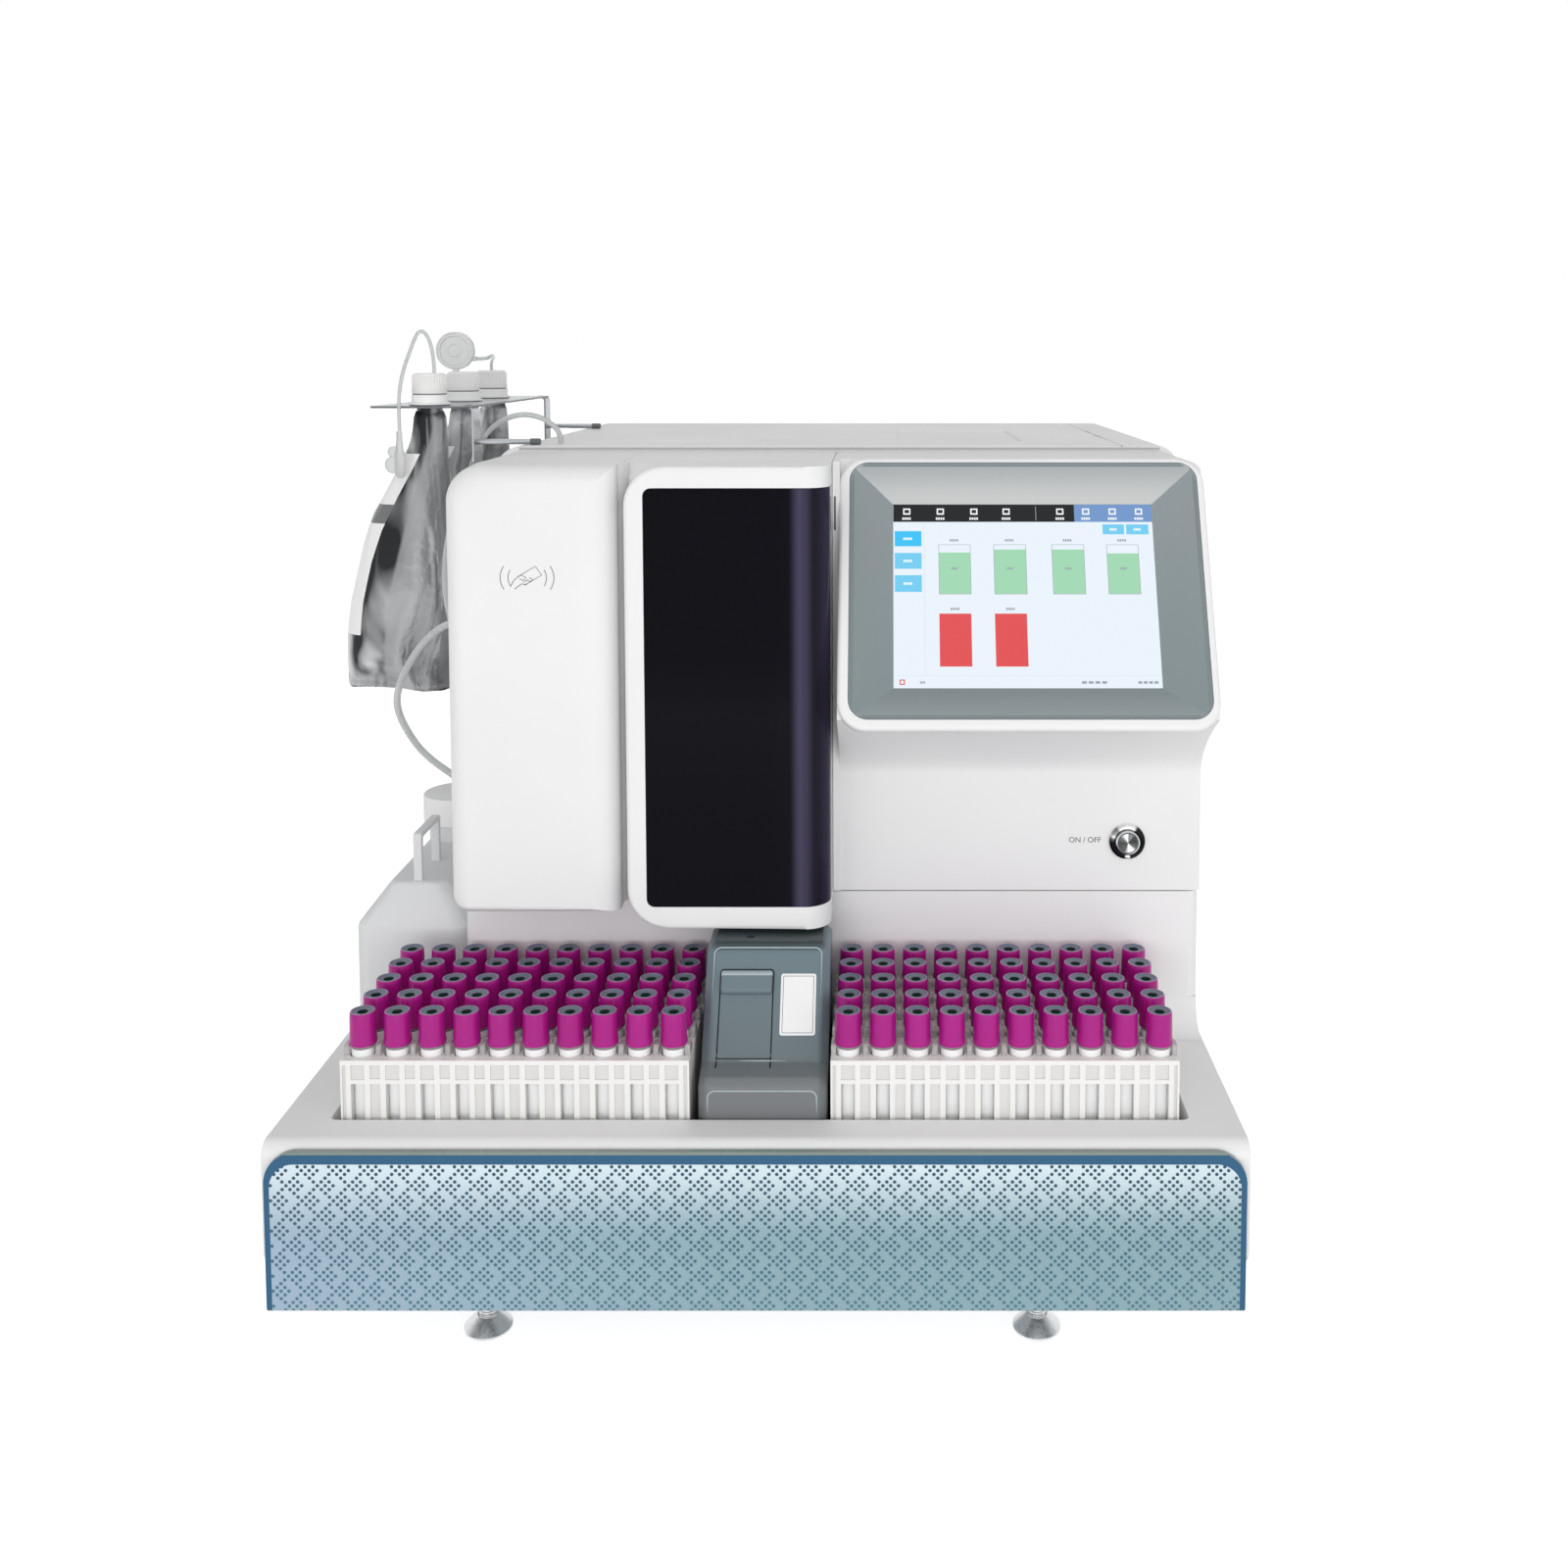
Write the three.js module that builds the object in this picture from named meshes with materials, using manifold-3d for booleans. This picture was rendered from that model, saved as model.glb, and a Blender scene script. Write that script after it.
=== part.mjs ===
// Bench-top glycohemoglobin analyzer with a five-row rack tray, an emergency sample tower,
// a hinged front door, a tilted touch screen, reagent pouches on a wire bracket and a waste bottle.
// Millimetres. X runs right from the middle of the tower, Y back from the front row of tubes,
// Z up from the bench. The last lines move the origin to the middle of the footprint.

import * as THREE from "three";
import { mergeVertices } from "three/addons/utils/BufferGeometryUtils.js";
import Module from "manifold-3d";

const wasm = await Module();
wasm.setup();

// Clearances and how finely round shapes are cut
const gap = 0.3;
const overrun = 2;
const cornerSteps = 4;
const roundSides = 16;
const boreSides = 12;
const rodSides = 8;
const gripSides = 10;
const discSides = 20;
const degree = Math.PI / 180;

// Racks of sample tubes
const rack = {
  rows: 5, pitch: 23, depth: 22, height: 57, wall: 2, start: 40.5,
  pocket: 14.4, windowHeight: 28, windowRise: 5,
};
const tube = {
  count: 10, pitch: 20, radius: 6.5, sides: 6, stand: 6, capRadius: 7.9, capTopRadius: 7.5,
  capHeight: 19, padThickness: 1.2,
};

// Tray with its well
const tray = { sideRim: 29, rim: 132, bottom: 61, rimDepth: 27, wall: 3, edgeRadius: 9 };
const well = { floor: 108, margin: 3, sideMargin: 5.5 };

// Patterned front panel
const panel = {
  sideInset: 3, top: 129.3, bottom: 38.5, thickness: 3.7, cornerRadius: 18, bendRadius: 9, bendShare: 0.9,
};

// Upper and lower covers of the cabinet
const body = {
  depth: 439, seam: 222, top: 501, lidSeam: 470, lidRise: 4, coverDepth: 94, wall: 3,
  leftRadius: 28, rightRadius: 20, edgeRadius: 8,
};
const vent = { count: 6, width: 4, height: 60, pitch: 14, rise: 120 };

// Left front cover, which stands forward over the racks
const pillow = {
  width: 106, doorGap: 8, forward: 44, rise: 2, cornerRadius: 28, footCorner: 12, frontRadius: 20,
  footRadius: 6, sideRadius: 22,
};

// Front door, its dark window and its hinge
const door = {
  width: 125, right: 38, front: 59, depth: 37, drop: 7, wall: 4, cornerRadius: 24,
  plainRadius: 6, wrapRadius: 16,
};
const pane = { thickness: 3, side: 12, rail: 13, footRail: 14, cornerRadius: 5 };
const hinge = {
  inset: 6, setback: 9, rodRadius: 2, tabHeight: 4, tabRise: 21, tabHalf: 4.2, knuckleHeight: 12,
  knuckleHalf: 4.6, notchPlay: 1,
};
const bay = { frontGap: 1.2, wall: 3, railWidth: 16, railDepth: 6, needleSlot: 40, slotReach: 10 };

// Emergency sample tower
const tower = {
  left: -36, right: 38.5, front: -12.5, back: 78, blockTop: 150, ledgeTop: 154, ledgeBack: -9,
  ridgeDepth: 4, ridgeTop: 158, faceBack: 42.5, topPlay: 2.5, chamfer: 4,
  chamferWidth: 6,
};
const flap = {
  center: -10.8, width: 30.8, start: 1.5, length: 49.6, thickness: 4, play: 0.6, depthPlay: 0.8,
  grip: 4, gripLength: 14, trunnionRadius: 1.2, trunnionLength: 2, slotLength: 6, slotWidth: 0.8,
};
const stat = {
  width: 18, windowRise: 8, windowHeight: 38, back: 62.5, wellRadius: 8.2, wellDepth: 54, drop: 54,
};

// Touch screen on its tilted cover
const display = {
  doorGap: 4.5, bottom: 343.6, front: 42, tilt: 24.7, height: 175.5, slab: 14, play: 0.3, cornerRadius: 15,
  coreInset: 8, underside: 300, undersideSteps: 6, backRun: 6,
};
const plate = { left: 7, right: 5, bottom: 7, top: 4, thickness: 4, cornerRadius: 10 };
const screen = { left: 27.5, right: 29.5, rise: 19.6, drop: 27.3, thickness: 2.6, sink: 1.4 };

// Power button
const button = {
  sideInset: 47.1, rise: 33.2, flangeRadius: 11.5, flange: 2.5, sleeveRadius: 9.2, sleeveLength: 19,
  boreRadius: 8.2, capRadius: 7.9, proud: 4.6, capLength: 16, dome: 0.8,
};

// Base plate and levelling feet
const base = { thickness: 3, inset: 4 };
const foot = {
  sideInset: 114.5, frontInset: 39, rearInset: 45, radius: 14, rim: 2, coneTop: 6.5, coneHeight: 9,
  studRadius: 5, nutRadius: 8, nutHeight: 7, nutRise: 38,
};

// Reagent pouches on their bracket
const bracket = {
  width: 69, sideGap: 13, frontInset: 80, depth: 255, rise: 26.5, thickness: 1.5, holeRadius: 9,
  armWidth: 18, hookRadius: 2, hookReach: 46, frontArm: 22, rearArm: 9,
};
const pouch = {
  count: 3, inset: 31, first: 16, pitch: 83.5, neckRadius: 8.7, neckHeight: 14, length: 184.5, sides: 12,
  capRadius: 12.7, capTopRadius: 12.2, capHeight: 22, collarRadius: 14.6, collarHeight: 3,
};
const pouchHeightShares = [0, 0.04, 0.35, 0.62, 0.85, 1];
const pouchWidths = [34, 38, 38, 31, 19, 11];
const pouchDepths = [8, 18, 22, 20, 14, 10];
const pouchShifts = [-24, -25, -20, -13, -5, 0];

// Waste bottle
const bottle = {
  sideGap: 3, width: 76, frontInset: 19, depth: 165, shoulder: 190, crown: 216, crownInset: 14, wall: 2,
  sides: 20, neckRadius: 21, neckTop: 227.7, capRadius: 25, capHeight: 20, capBack: 47, handleFront: 18,
  handleLength: 50, handleRise: 32, handleWidth: 12, handleBar: 6, handlePost: 7, boreInset: 3,
  footInset: 2, footRise: 4, roundShare: 0.35,
};

// Free tubes, each with its outside diameter
const thinTube = { diameter: 2.6, sides: rodSides, steps: 26 };
const lineTube = { diameter: 4, sides: rodSides, steps: 30 };
const wasteTube = { diameter: 5, sides: rodSides, steps: 26 };
const discFilter = {
  aside: 5, rise: 15.7, radius: 14, thickness: 7, stemRadius: 2.4, portRadius: 2.6, portLength: 16,
  portDrop: 6,
};
const wingFilter = {
  sideGap: 59.5, frontInset: 77, drop: 47.5, length: 31.8, radius: 3.6, barrelLength: 21, wing: 10.5,
  wingRise: 3.6, wingHeight: 10.8, wingThickness: 4, stubRadius: 2.4,
};

// Works inside the cabinet
const needle = {
  x: 0, tipRise: 5, radius: 1.5, block: 34, blockDepth: 26, blockHeight: 50, blockRise: 60, arm: 12,
};
const pump = {
  sideInset: 21, frontInset: 44, width: 100, depth: 150, height: 110, headRadius: 14, headLength: 24,
  headPitch: 44, valveRadius: 18, valveLength: 20, headShare: 1 / 3, valveShare: 0.75,
};
const oven = {
  sideInset: 30, frontInset: 84, width: 150, depth: 110, height: 190, doorWidth: 90, doorHeight: 140,
  doorProud: 6,
  columnRadius: 9,
};

// Places that follow from the sizes above
const bodyFront = (rack.rows - 1) * rack.pitch + rack.depth / 2 + well.margin;
const bodyBack = bodyFront + body.depth;
const coverBack = bodyFront + body.coverDepth;
const wellFront = -(rack.depth / 2 + well.margin);
const rackLength = tube.count * tube.pitch;
const wellHalf = rack.start + rackLength + well.sideMargin;
const bodyRight = wellHalf + tray.sideRim;
const trayFront = wellFront - tray.rimDepth;
const rackFloor = well.floor + gap;
const rackTop = rackFloor + rack.height;
const doorLeft = door.right - door.width;
const doorBottom = body.seam - door.drop;
const pillowRight = doorLeft - pillow.doorGap;
const bodyLeft = pillowRight - pillow.width;
const pillowFront = bodyFront - pillow.forward;
const hingeX = doorLeft + hinge.inset;
const hingeY = door.front + hinge.setback;
const bayLeft = pillowRight + gap;
const bayFront = door.front + door.depth + bay.frontGap;
const needleY = (rack.rows - 1) * rack.pitch;
const needleTip = body.seam + needle.tipRise;
const baseTop = tray.bottom - gap;
const baseBottom = baseTop - base.thickness;
const tilt = display.tilt * degree;
const displayLeft = door.right + display.doorGap;
const headWidth = bodyRight - displayLeft;
const overLid = body.top + body.lidRise + overrun;
const buttonX = bodyRight - button.sideInset;
const buttonZ = body.seam + button.rise;
const bracketRight = bodyLeft - bracket.sideGap;
const bracketFront = bodyFront + bracket.frontInset;
const bracketBack = bracketFront + bracket.depth;
const bracketLevel = body.top + body.lidRise + bracket.rise;
const pouchX = bracketRight - pouch.inset;
const pouchY = (i) => bracketFront + pouch.first + i * pouch.pitch;
const pouchCapTop = bracketLevel + bracket.thickness + gap + pouch.capHeight;
const bottleLeft = bodyLeft - bottle.sideGap - bottle.width;
const bottleFront = bodyFront + bottle.frontInset;
const pumpX = bodyLeft + pump.sideInset;
const pumpY = bodyFront + pump.frontInset;
const ovenX = bodyRight - oven.sideInset - oven.width;
const ovenY = bodyFront + oven.frontInset;

// Materials
const finish = (color, roughness, metalness = 0, opacity = 1) =>
  new THREE.MeshStandardMaterial({ color, roughness, metalness, opacity, transparent: opacity < 1 });
const material = {
  white: finish("#eeeeee", 0.5),
  rack: finish("#f1f1ef", 0.45),
  tube: finish("#b5208f", 0.35),
  grey: finish("#7f9299", 0.55),
  bezel: finish("#76858a", 0.4, 0.3),
  panel: finish("#97b4c4", 0.35, 0.6),
  window: finish("#14121f", 0.1),
  screen: finish("#dfe8ee", 0.2),
  chrome: finish("#c9ccce", 0.2, 1),
  steel: finish("#b4b7ba", 0.35, 1),
  foil: finish("#a9abad", 0.3, 1),
  cap: finish("#f4f4f2", 0.4),
  clear: finish("#e4e6e6", 0.3, 0, 0.5),
  bottle: finish("#e8ebec", 0.4, 0, 0.7),
  works: finish("#8c9094", 0.6),
};

// Solids and booleans
function solid(item) {
  if (item instanceof wasm.Manifold) return item;
  const bare = item.clone();
  bare.deleteAttribute("normal");
  bare.deleteAttribute("uv");
  const merged = mergeVertices(bare, 1e-4);
  const source = { numProp: 3, vertProperties: merged.attributes.position.array };
  const triVerts = new Uint32Array(merged.index.array);
  const made = new wasm.Manifold(new wasm.Mesh({ ...source, triVerts }));
  if (made.volume() > 0) return made;
  for (let i = 0; i < triVerts.length; i += 3) {
    [triVerts[i + 1], triVerts[i + 2]] = [triVerts[i + 2], triVerts[i + 1]];
  }
  return new wasm.Manifold(new wasm.Mesh({ ...source, triVerts }));
}
const union = (...items) => items.map(solid).reduce((a, b) => a.add(b));
const cut = (first, ...others) => others.map(solid).reduce((a, b) => a.subtract(b), solid(first));
const common = (...items) => items.map(solid).reduce((a, b) => a.intersect(b));

function geometryOf(item) {
  const mesh = solid(item).getMesh();
  const geometry = new THREE.BufferGeometry();
  geometry.setAttribute("position", new THREE.BufferAttribute(mesh.vertProperties, 3));
  geometry.setIndex(new THREE.BufferAttribute(mesh.triVerts, 1));
  const flat = geometry.toNonIndexed();
  flat.computeVertexNormals();
  return flat;
}

// Primitive shapes
function box([x0, x1], [y0, y1], [z0, z1]) {
  const geometry = new THREE.BoxGeometry(x1 - x0, y1 - y0, z1 - z0);
  return geometry.translate((x0 + x1) / 2, (y0 + y1) / 2, (z0 + z1) / 2);
}

function cylinder(radius, x, y, [z0, z1], sides = roundSides) {
  const geometry = new THREE.CylinderGeometry(radius, radius, z1 - z0, sides);
  return geometry.rotateX(Math.PI / 2).translate(x, y, (z0 + z1) / 2);
}

function lathe(profile, sides = roundSides) {
  const points = profile.map(([r, h]) => new THREE.Vector2(r, h));
  return new THREE.LatheGeometry(points, sides).rotateX(Math.PI / 2);
}

// A rectangle's outline with its own radius at each corner, from the low corner round to the left top one
function roundedOutline([a0, a1], [b0, b1], [r00, r10, r11, r01]) {
  const shape = new THREE.Shape();
  shape.moveTo(a0 + r00, b0);
  shape.lineTo(a1 - r10, b0);
  if (r10 > 0) shape.absarc(a1 - r10, b0 + r10, r10, -Math.PI / 2, 0);
  shape.lineTo(a1, b1 - r11);
  if (r11 > 0) shape.absarc(a1 - r11, b1 - r11, r11, 0, Math.PI / 2);
  shape.lineTo(a0 + r01, b1);
  if (r01 > 0) shape.absarc(a0 + r01, b1 - r01, r01, Math.PI / 2, Math.PI);
  shape.lineTo(a0, b0 + r00);
  if (r00 > 0) shape.absarc(a0 + r00, b0 + r00, r00, Math.PI, Math.PI * 1.5);
  return shape;
}
const outlineOf = (points) => new THREE.Shape(points.map(([a, b]) => new THREE.Vector2(a, b)));

function extrude(shape, depth, bevel = {}) {
  const settings = { depth, curveSegments: cornerSteps, bevelEnabled: false, ...bevel };
  return new THREE.ExtrudeGeometry(shape, settings);
}
const alongX = new THREE.Matrix4().set(0, 0, 1, 0, 1, 0, 0, 0, 0, 1, 0, 0, 0, 0, 0, 1);
const prismX = (shape, [x0, x1]) => extrude(shape, x1 - x0).applyMatrix4(alongX).translate(x0, 0, 0);
const prismY = (shape, [y0, y1]) => extrude(shape, y1 - y0).rotateX(Math.PI / 2).translate(0, y1, 0);
const prismZ = (shape, [z0, z1]) => extrude(shape, z1 - z0).translate(0, 0, z0);

// A closed skin through rings of points, each ring listed anticlockwise and the rings from the bottom up
function loft(rings) {
  const count = rings[0].length;
  const position = rings.flat(2);
  const index = [];
  for (let k = 0; k + 1 < rings.length; k += 1) {
    for (let i = 0; i < count; i += 1) {
      const a = k * count + i;
      const b = k * count + ((i + 1) % count);
      index.push(a, b, b + count, a, b + count, a + count);
    }
  }
  const last = (rings.length - 1) * count;
  for (let i = 1; i + 1 < count; i += 1) {
    index.push(0, i + 1, i, last, last + i, last + i + 1);
  }
  const geometry = new THREE.BufferGeometry();
  geometry.setAttribute("position", new THREE.Float32BufferAttribute(position, 3));
  geometry.setIndex(index);
  return geometry.toNonIndexed();
}

// A level ring between an ellipse and a rectangle: the share is 1 for an ellipse and less when squarer
function ring(x, y, z, halfX, halfY, sides, roundShare = 1) {
  return Array.from({ length: sides }, (_, i) => {
    const angle = ((i + 0.5) / sides) * Math.PI * 2;
    const [c, s] = [Math.cos(angle), Math.sin(angle)];
    const squared = (value) => Math.sign(value) * Math.abs(value) ** roundShare;
    return [x + halfX * squared(c), y + halfY * squared(s), z];
  });
}

// Moves each side of an anticlockwise outline inwards by a distance
function inset(points, distance) {
  const count = points.length;
  const side = (i) => {
    const [p, q] = [points[i % count], points[(i + 1) % count]];
    const length = Math.hypot(q[0] - p[0], q[1] - p[1]);
    const direction = [(q[0] - p[0]) / length, (q[1] - p[1]) / length];
    return { direction, start: [p[0] - direction[1] * distance, p[1] + direction[0] * distance] };
  };
  return points.map((_, i) => {
    const [one, two] = [side(i + count - 1), side(i)];
    const cross = one.direction[0] * two.direction[1] - one.direction[1] * two.direction[0];
    const [dx, dy] = [two.start[0] - one.start[0], two.start[1] - one.start[1]];
    const along = (dx * two.direction[1] - dy * two.direction[0]) / cross;
    return [one.start[0] + one.direction[0] * along, one.start[1] + one.direction[1] * along];
  });
}

// The model's own group, with a helper that names each piece
const analyzer = new THREE.Group();
function add(name, item, look, parent = analyzer) {
  const mesh = new THREE.Mesh(geometryOf(item), look);
  mesh.name = name;
  parent.add(mesh);
  return mesh;
}

// Base plate and feet
function baseOutline() {
  const [left, right] = [-bodyRight + base.inset, bodyRight - base.inset];
  const [front, back] = [trayFront + base.inset, bodyBack - base.inset];
  const step = [bodyLeft + base.inset, bodyFront - base.inset];
  return outlineOf([[left, front], [right, front], [right, back], [step[0], back], step, [left, step[1]]]);
}

function footGeometry() {
  const stand = baseBottom - gap;
  const nutTop = foot.nutRise + foot.nutHeight;
  return lathe([
    [0, 0], [foot.radius, 0], [foot.radius, foot.rim], [foot.coneTop, foot.coneHeight],
    [foot.studRadius, foot.coneHeight], [foot.studRadius, foot.nutRise], [foot.nutRadius, foot.nutRise],
    [foot.nutRadius, nutTop], [foot.studRadius, nutTop], [foot.studRadius, stand], [0, stand],
  ], boreSides);
}

function addBase() {
  add("base_plate", prismZ(baseOutline(), [baseBottom, baseTop]), material.steel);
  const rows = { front: trayFront + foot.frontInset, rear: bodyBack - foot.rearInset };
  for (const [row, y] of Object.entries(rows)) {
    for (const [side, sign] of [["left", -1], ["right", 1]]) {
      const mesh = add(`foot_${row}_${side}`, footGeometry(), material.chrome);
      mesh.position.set(sign * (bodyRight - foot.sideInset), y, 0);
    }
  }
}

// Tray: a shell with rounded front edges, open underneath, with the racks' well sunk into it
function trayBlock(wall) {
  const radius = tray.edgeRadius - wall;
  const side = roundedOutline(
    [trayFront + wall, bodyFront - gap - wall], [tray.bottom, tray.rim - wall], [radius, 0, 0, radius]);
  return solid(prismX(side, [-bodyRight + wall, bodyRight - wall]));
}

function wellBlock(wall, top) {
  return box([-wellHalf - wall, wellHalf + wall], [wellFront - wall, bodyFront], [well.floor - wall, top]);
}

function addTray() {
  const hollow = cut(trayBlock(tray.wall), wellBlock(tray.wall, tray.rim));
  const opened = union(hollow, box(
    [-bodyRight + tray.wall, bodyRight - tray.wall],
    [trayFront + tray.edgeRadius, bodyFront - gap - tray.wall],
    [tray.bottom - overrun, tray.bottom + overrun]));
  const wellSpace = wellBlock(0, tray.rim + overrun);
  add("tray_shell", cut(trayBlock(0), opened, wellSpace), material.white);
}

// Front panel: a bent plate whose upper corners are round
function addPanel() {
  const back = trayFront - gap;
  const front = back - panel.thickness;
  const bend = panel.bendRadius * panel.bendShare;
  const round = panel.thickness * panel.bendShare;
  const side = roundedOutline([front, back], [panel.bottom, panel.top], [0, 0, 0, round]);
  const lip = roundedOutline([front, back + bend], [panel.bottom, panel.bottom + panel.thickness],
    [round, 0, 0, 0]);
  const half = bodyRight - panel.sideInset;
  const face = roundedOutline([-half, half], [panel.bottom, panel.top],
    [0, 0, panel.cornerRadius, panel.cornerRadius]);
  const bent = union(prismX(side, [-half, half]), prismX(lip, [-half, half]));
  add("front_panel", common(bent, prismY(face, [front - overrun, back + bend + overrun])), material.panel);
}

const padRoom = tube.padThickness + gap * 2;

// Racks: a comb of dividers between two long windows, under a top plate with a pocket for each tube
function rackGeometry() {
  const halfDepth = rack.depth / 2;
  const halfPocket = rack.pocket / 2;
  const shell = box([0, rackLength], [-halfDepth, halfDepth], [0, rack.height]);
  const end = tube.pitch / 2 - halfPocket;
  const cuts = [box([end, rackLength - end], [-halfPocket, halfPocket], [rack.wall, rack.wall + padRoom])];
  for (let i = 0; i < tube.count; i += 1) {
    const x = tube.pitch * (i + 0.5);
    cuts.push(box([x - halfPocket, x + halfPocket], [-halfPocket, halfPocket],
      [rack.wall, rack.height + overrun]));
  }
  const window = [rack.windowRise, rack.windowRise + rack.windowHeight];
  cuts.push(box([end, rackLength - end], [-halfDepth - overrun, -halfPocket], window));
  cuts.push(box([end, rackLength - end], [halfPocket, halfDepth + overrun], window));
  return geometryOf(cut(shell, ...cuts));
}

// Ten capped tubes on the soft strip that they stand on
function tubesGeometry() {
  const floor = rack.wall + gap;
  const start = floor + tube.padThickness / 2;
  const capFoot = rack.height + tube.stand;
  const profile = [
    [0, start], [tube.radius, start], [tube.radius, capFoot], [tube.capRadius, capFoot],
    [tube.capTopRadius, capFoot + tube.capHeight], [0, capFoot + tube.capHeight],
  ];
  const one = lathe(profile, tube.sides).rotateZ(Math.PI / tube.sides);
  const half = rack.pocket / 2 - gap;
  const end = tube.pitch / 2 - half;
  const pad = box([end, rackLength - end], [-half, half], [floor, floor + tube.padThickness]);
  const places = Array.from({ length: tube.count }, (_, i) => tube.pitch * (i + 0.5));
  return geometryOf(union(pad, ...places.map((x) => one.clone().translate(x, 0, 0))));
}

function addRacks() {
  const comb = rackGeometry();
  const tubes = tubesGeometry();
  const starts = { right: rack.start, left: -rack.start - rackLength };
  for (const [side, x] of Object.entries(starts)) {
    for (let row = 0; row < rack.rows; row += 1) {
      const group = new THREE.Group();
      group.position.set(x, row * rack.pitch, rackFloor);
      analyzer.add(group);
      const frame = new THREE.Mesh(comb, material.rack);
      frame.name = `rack_${side}_${row + 1}`;
      const set = new THREE.Mesh(tubes, material.tube);
      set.name = `tubes_${side}_${row + 1}`;
      group.add(frame, set);
    }
  }
}

// Tower: a leaning face over a block, with a recess for the flap and a pocket for an urgent sample
const towerTop = doorBottom - tower.topPlay;
const lean = Math.atan2(tower.faceBack - tower.ridgeDepth, towerTop - tower.ridgeTop);

function towerBlock() {
  const side = outlineOf([
    [tower.front, rackFloor], [tower.back, rackFloor], [tower.back, towerTop],
    [tower.faceBack, towerTop],
    [tower.ridgeDepth, tower.ridgeTop], [tower.ledgeBack, tower.ledgeTop], [tower.front, tower.blockTop],
  ]);
  const bevel = {
    bevelEnabled: true, bevelSegments: 1, bevelSize: tower.chamfer, bevelThickness: tower.chamferWidth,
    bevelOffset: -tower.chamfer,
  };
  const middle = tower.right - tower.left - tower.chamferWidth * 2;
  return extrude(side, middle, bevel).applyMatrix4(alongX).translate(tower.left + tower.chamferWidth, 0, 0);
}

// The face's own axes: X, up the face, and out of it
function faceFrame() {
  const frame = new THREE.Group();
  frame.position.set(0, tower.ridgeDepth, tower.ridgeTop);
  frame.rotation.x = Math.PI / 2 - lean;
  frame.updateMatrix();
  return frame;
}

function addTower() {
  const frame = faceFrame();
  analyzer.add(frame);
  const [left, right] = [flap.center - flap.width / 2, flap.center + flap.width / 2];
  const deep = flap.thickness + flap.depthPlay;
  const onFace = (item) => solid(item.applyMatrix4(frame.matrix));
  const end = flap.start + flap.length;
  const recess = onFace(box([left - flap.play, right + flap.play], [flap.start - flap.play, end + flap.play],
    [-deep, overrun * 2]));
  const slots = [left - flap.play, right + flap.play - flap.slotWidth].map((x) =>
    onFace(box([x, x + flap.slotWidth], [-flap.slotLength, flap.start], [-deep, overrun * 2])));
  const axle = (radius, reach) => new THREE.CylinderGeometry(radius, radius, flap.width + reach * 2, rodSides)
    .rotateZ(Math.PI / 2).translate(flap.center, flap.start + flap.thickness / 2, -flap.thickness / 2);
  const sockets = onFace(axle(flap.trunnionRadius + gap, flap.trunnionLength + flap.play + gap));
  const window = box(
    [flap.center - stat.width / 2, flap.center + stat.width / 2], [tower.front, stat.back],
    [tower.ridgeTop + stat.windowRise, tower.ridgeTop + stat.windowRise + stat.windowHeight]);
  const hole = cylinder(stat.wellRadius, flap.center, stat.wellDepth,
    [tower.ridgeTop + stat.windowRise - stat.drop, towerTop + overrun], boreSides);
  add("tower_housing", cut(towerBlock(), recess, ...slots, sockets, window, hole), material.grey);
  const leaf = extrude(roundedOutline([flap.start, end], [-flap.thickness, 0],
    [flap.thickness / 2, 0, 0, flap.thickness / 2]), flap.width).applyMatrix4(alongX).translate(left, 0, 0);
  const grip = new THREE.CylinderGeometry(flap.grip, flap.grip, flap.width, gripSides)
    .rotateZ(Math.PI / 2).scale(1, flap.gripLength / 2 / flap.grip, 1)
    .translate(flap.center, end - flap.gripLength / 2, -flap.thickness / 2);
  const trimmed = common(grip, box([left, right], [flap.start, end], [-flap.thickness, flap.grip]));
  const trunnions = axle(flap.trunnionRadius, flap.trunnionLength);
  add("stat_flap", union(leaf, trimmed, trunnions), material.grey, frame);
}

// Lower cover: a ring of wall round the bottom of the cabinet, with vents in its back
function cabinetPlan(wall) {
  const radius = body.edgeRadius - wall;
  return roundedOutline([bodyLeft + wall, bodyRight - wall], [bodyFront + wall, bodyBack - wall],
    [radius, radius, radius, radius]);
}

function ventCuts(middle, bottom) {
  return Array.from({ length: vent.count }, (_, i) => {
    const x = middle + (i - (vent.count - 1) / 2) * vent.pitch;
    return box([x - vent.width / 2, x + vent.width / 2],
      [bodyBack - body.wall - overrun, bodyBack + overrun], [bottom, bottom + vent.height]);
  });
}

function addLowerCover() {
  const span = [tray.bottom, body.seam];
  const inner = prismZ(cabinetPlan(body.wall), [span[0] - overrun, span[1] + overrun]);
  const middle = (bodyLeft + bodyRight) / 2;
  const vents = ventCuts(middle, tray.bottom + vent.height / 2);
  add("lower_cover", cut(prismZ(cabinetPlan(0), span), inner, ...vents), material.white);
}

// Upper body outline seen from the front, with a wall taken off all round
function upperOutline(wall, bottom) {
  const top = body.top + body.lidRise - wall;
  return roundedOutline([bodyLeft + wall, bodyRight - wall], [bottom, top],
    [0, 0, body.rightRadius - wall, body.leftRadius - wall]);
}

function addRearHousing() {
  const span = [body.seam + gap, body.lidSeam - gap];
  const ringWall = cut(prismZ(cabinetPlan(0), span),
    prismZ(cabinetPlan(body.wall), [span[0] - overrun, span[1] + overrun]));
  const keep = box([bodyLeft - overrun, bodyRight + overrun], [coverBack + gap, bodyBack + overrun], span);
  const middle = (bodyLeft + bodyRight) / 2;
  add("rear_housing", cut(common(ringWall, keep), ...ventCuts(middle, span[0] + vent.rise)), material.white);
}

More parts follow.
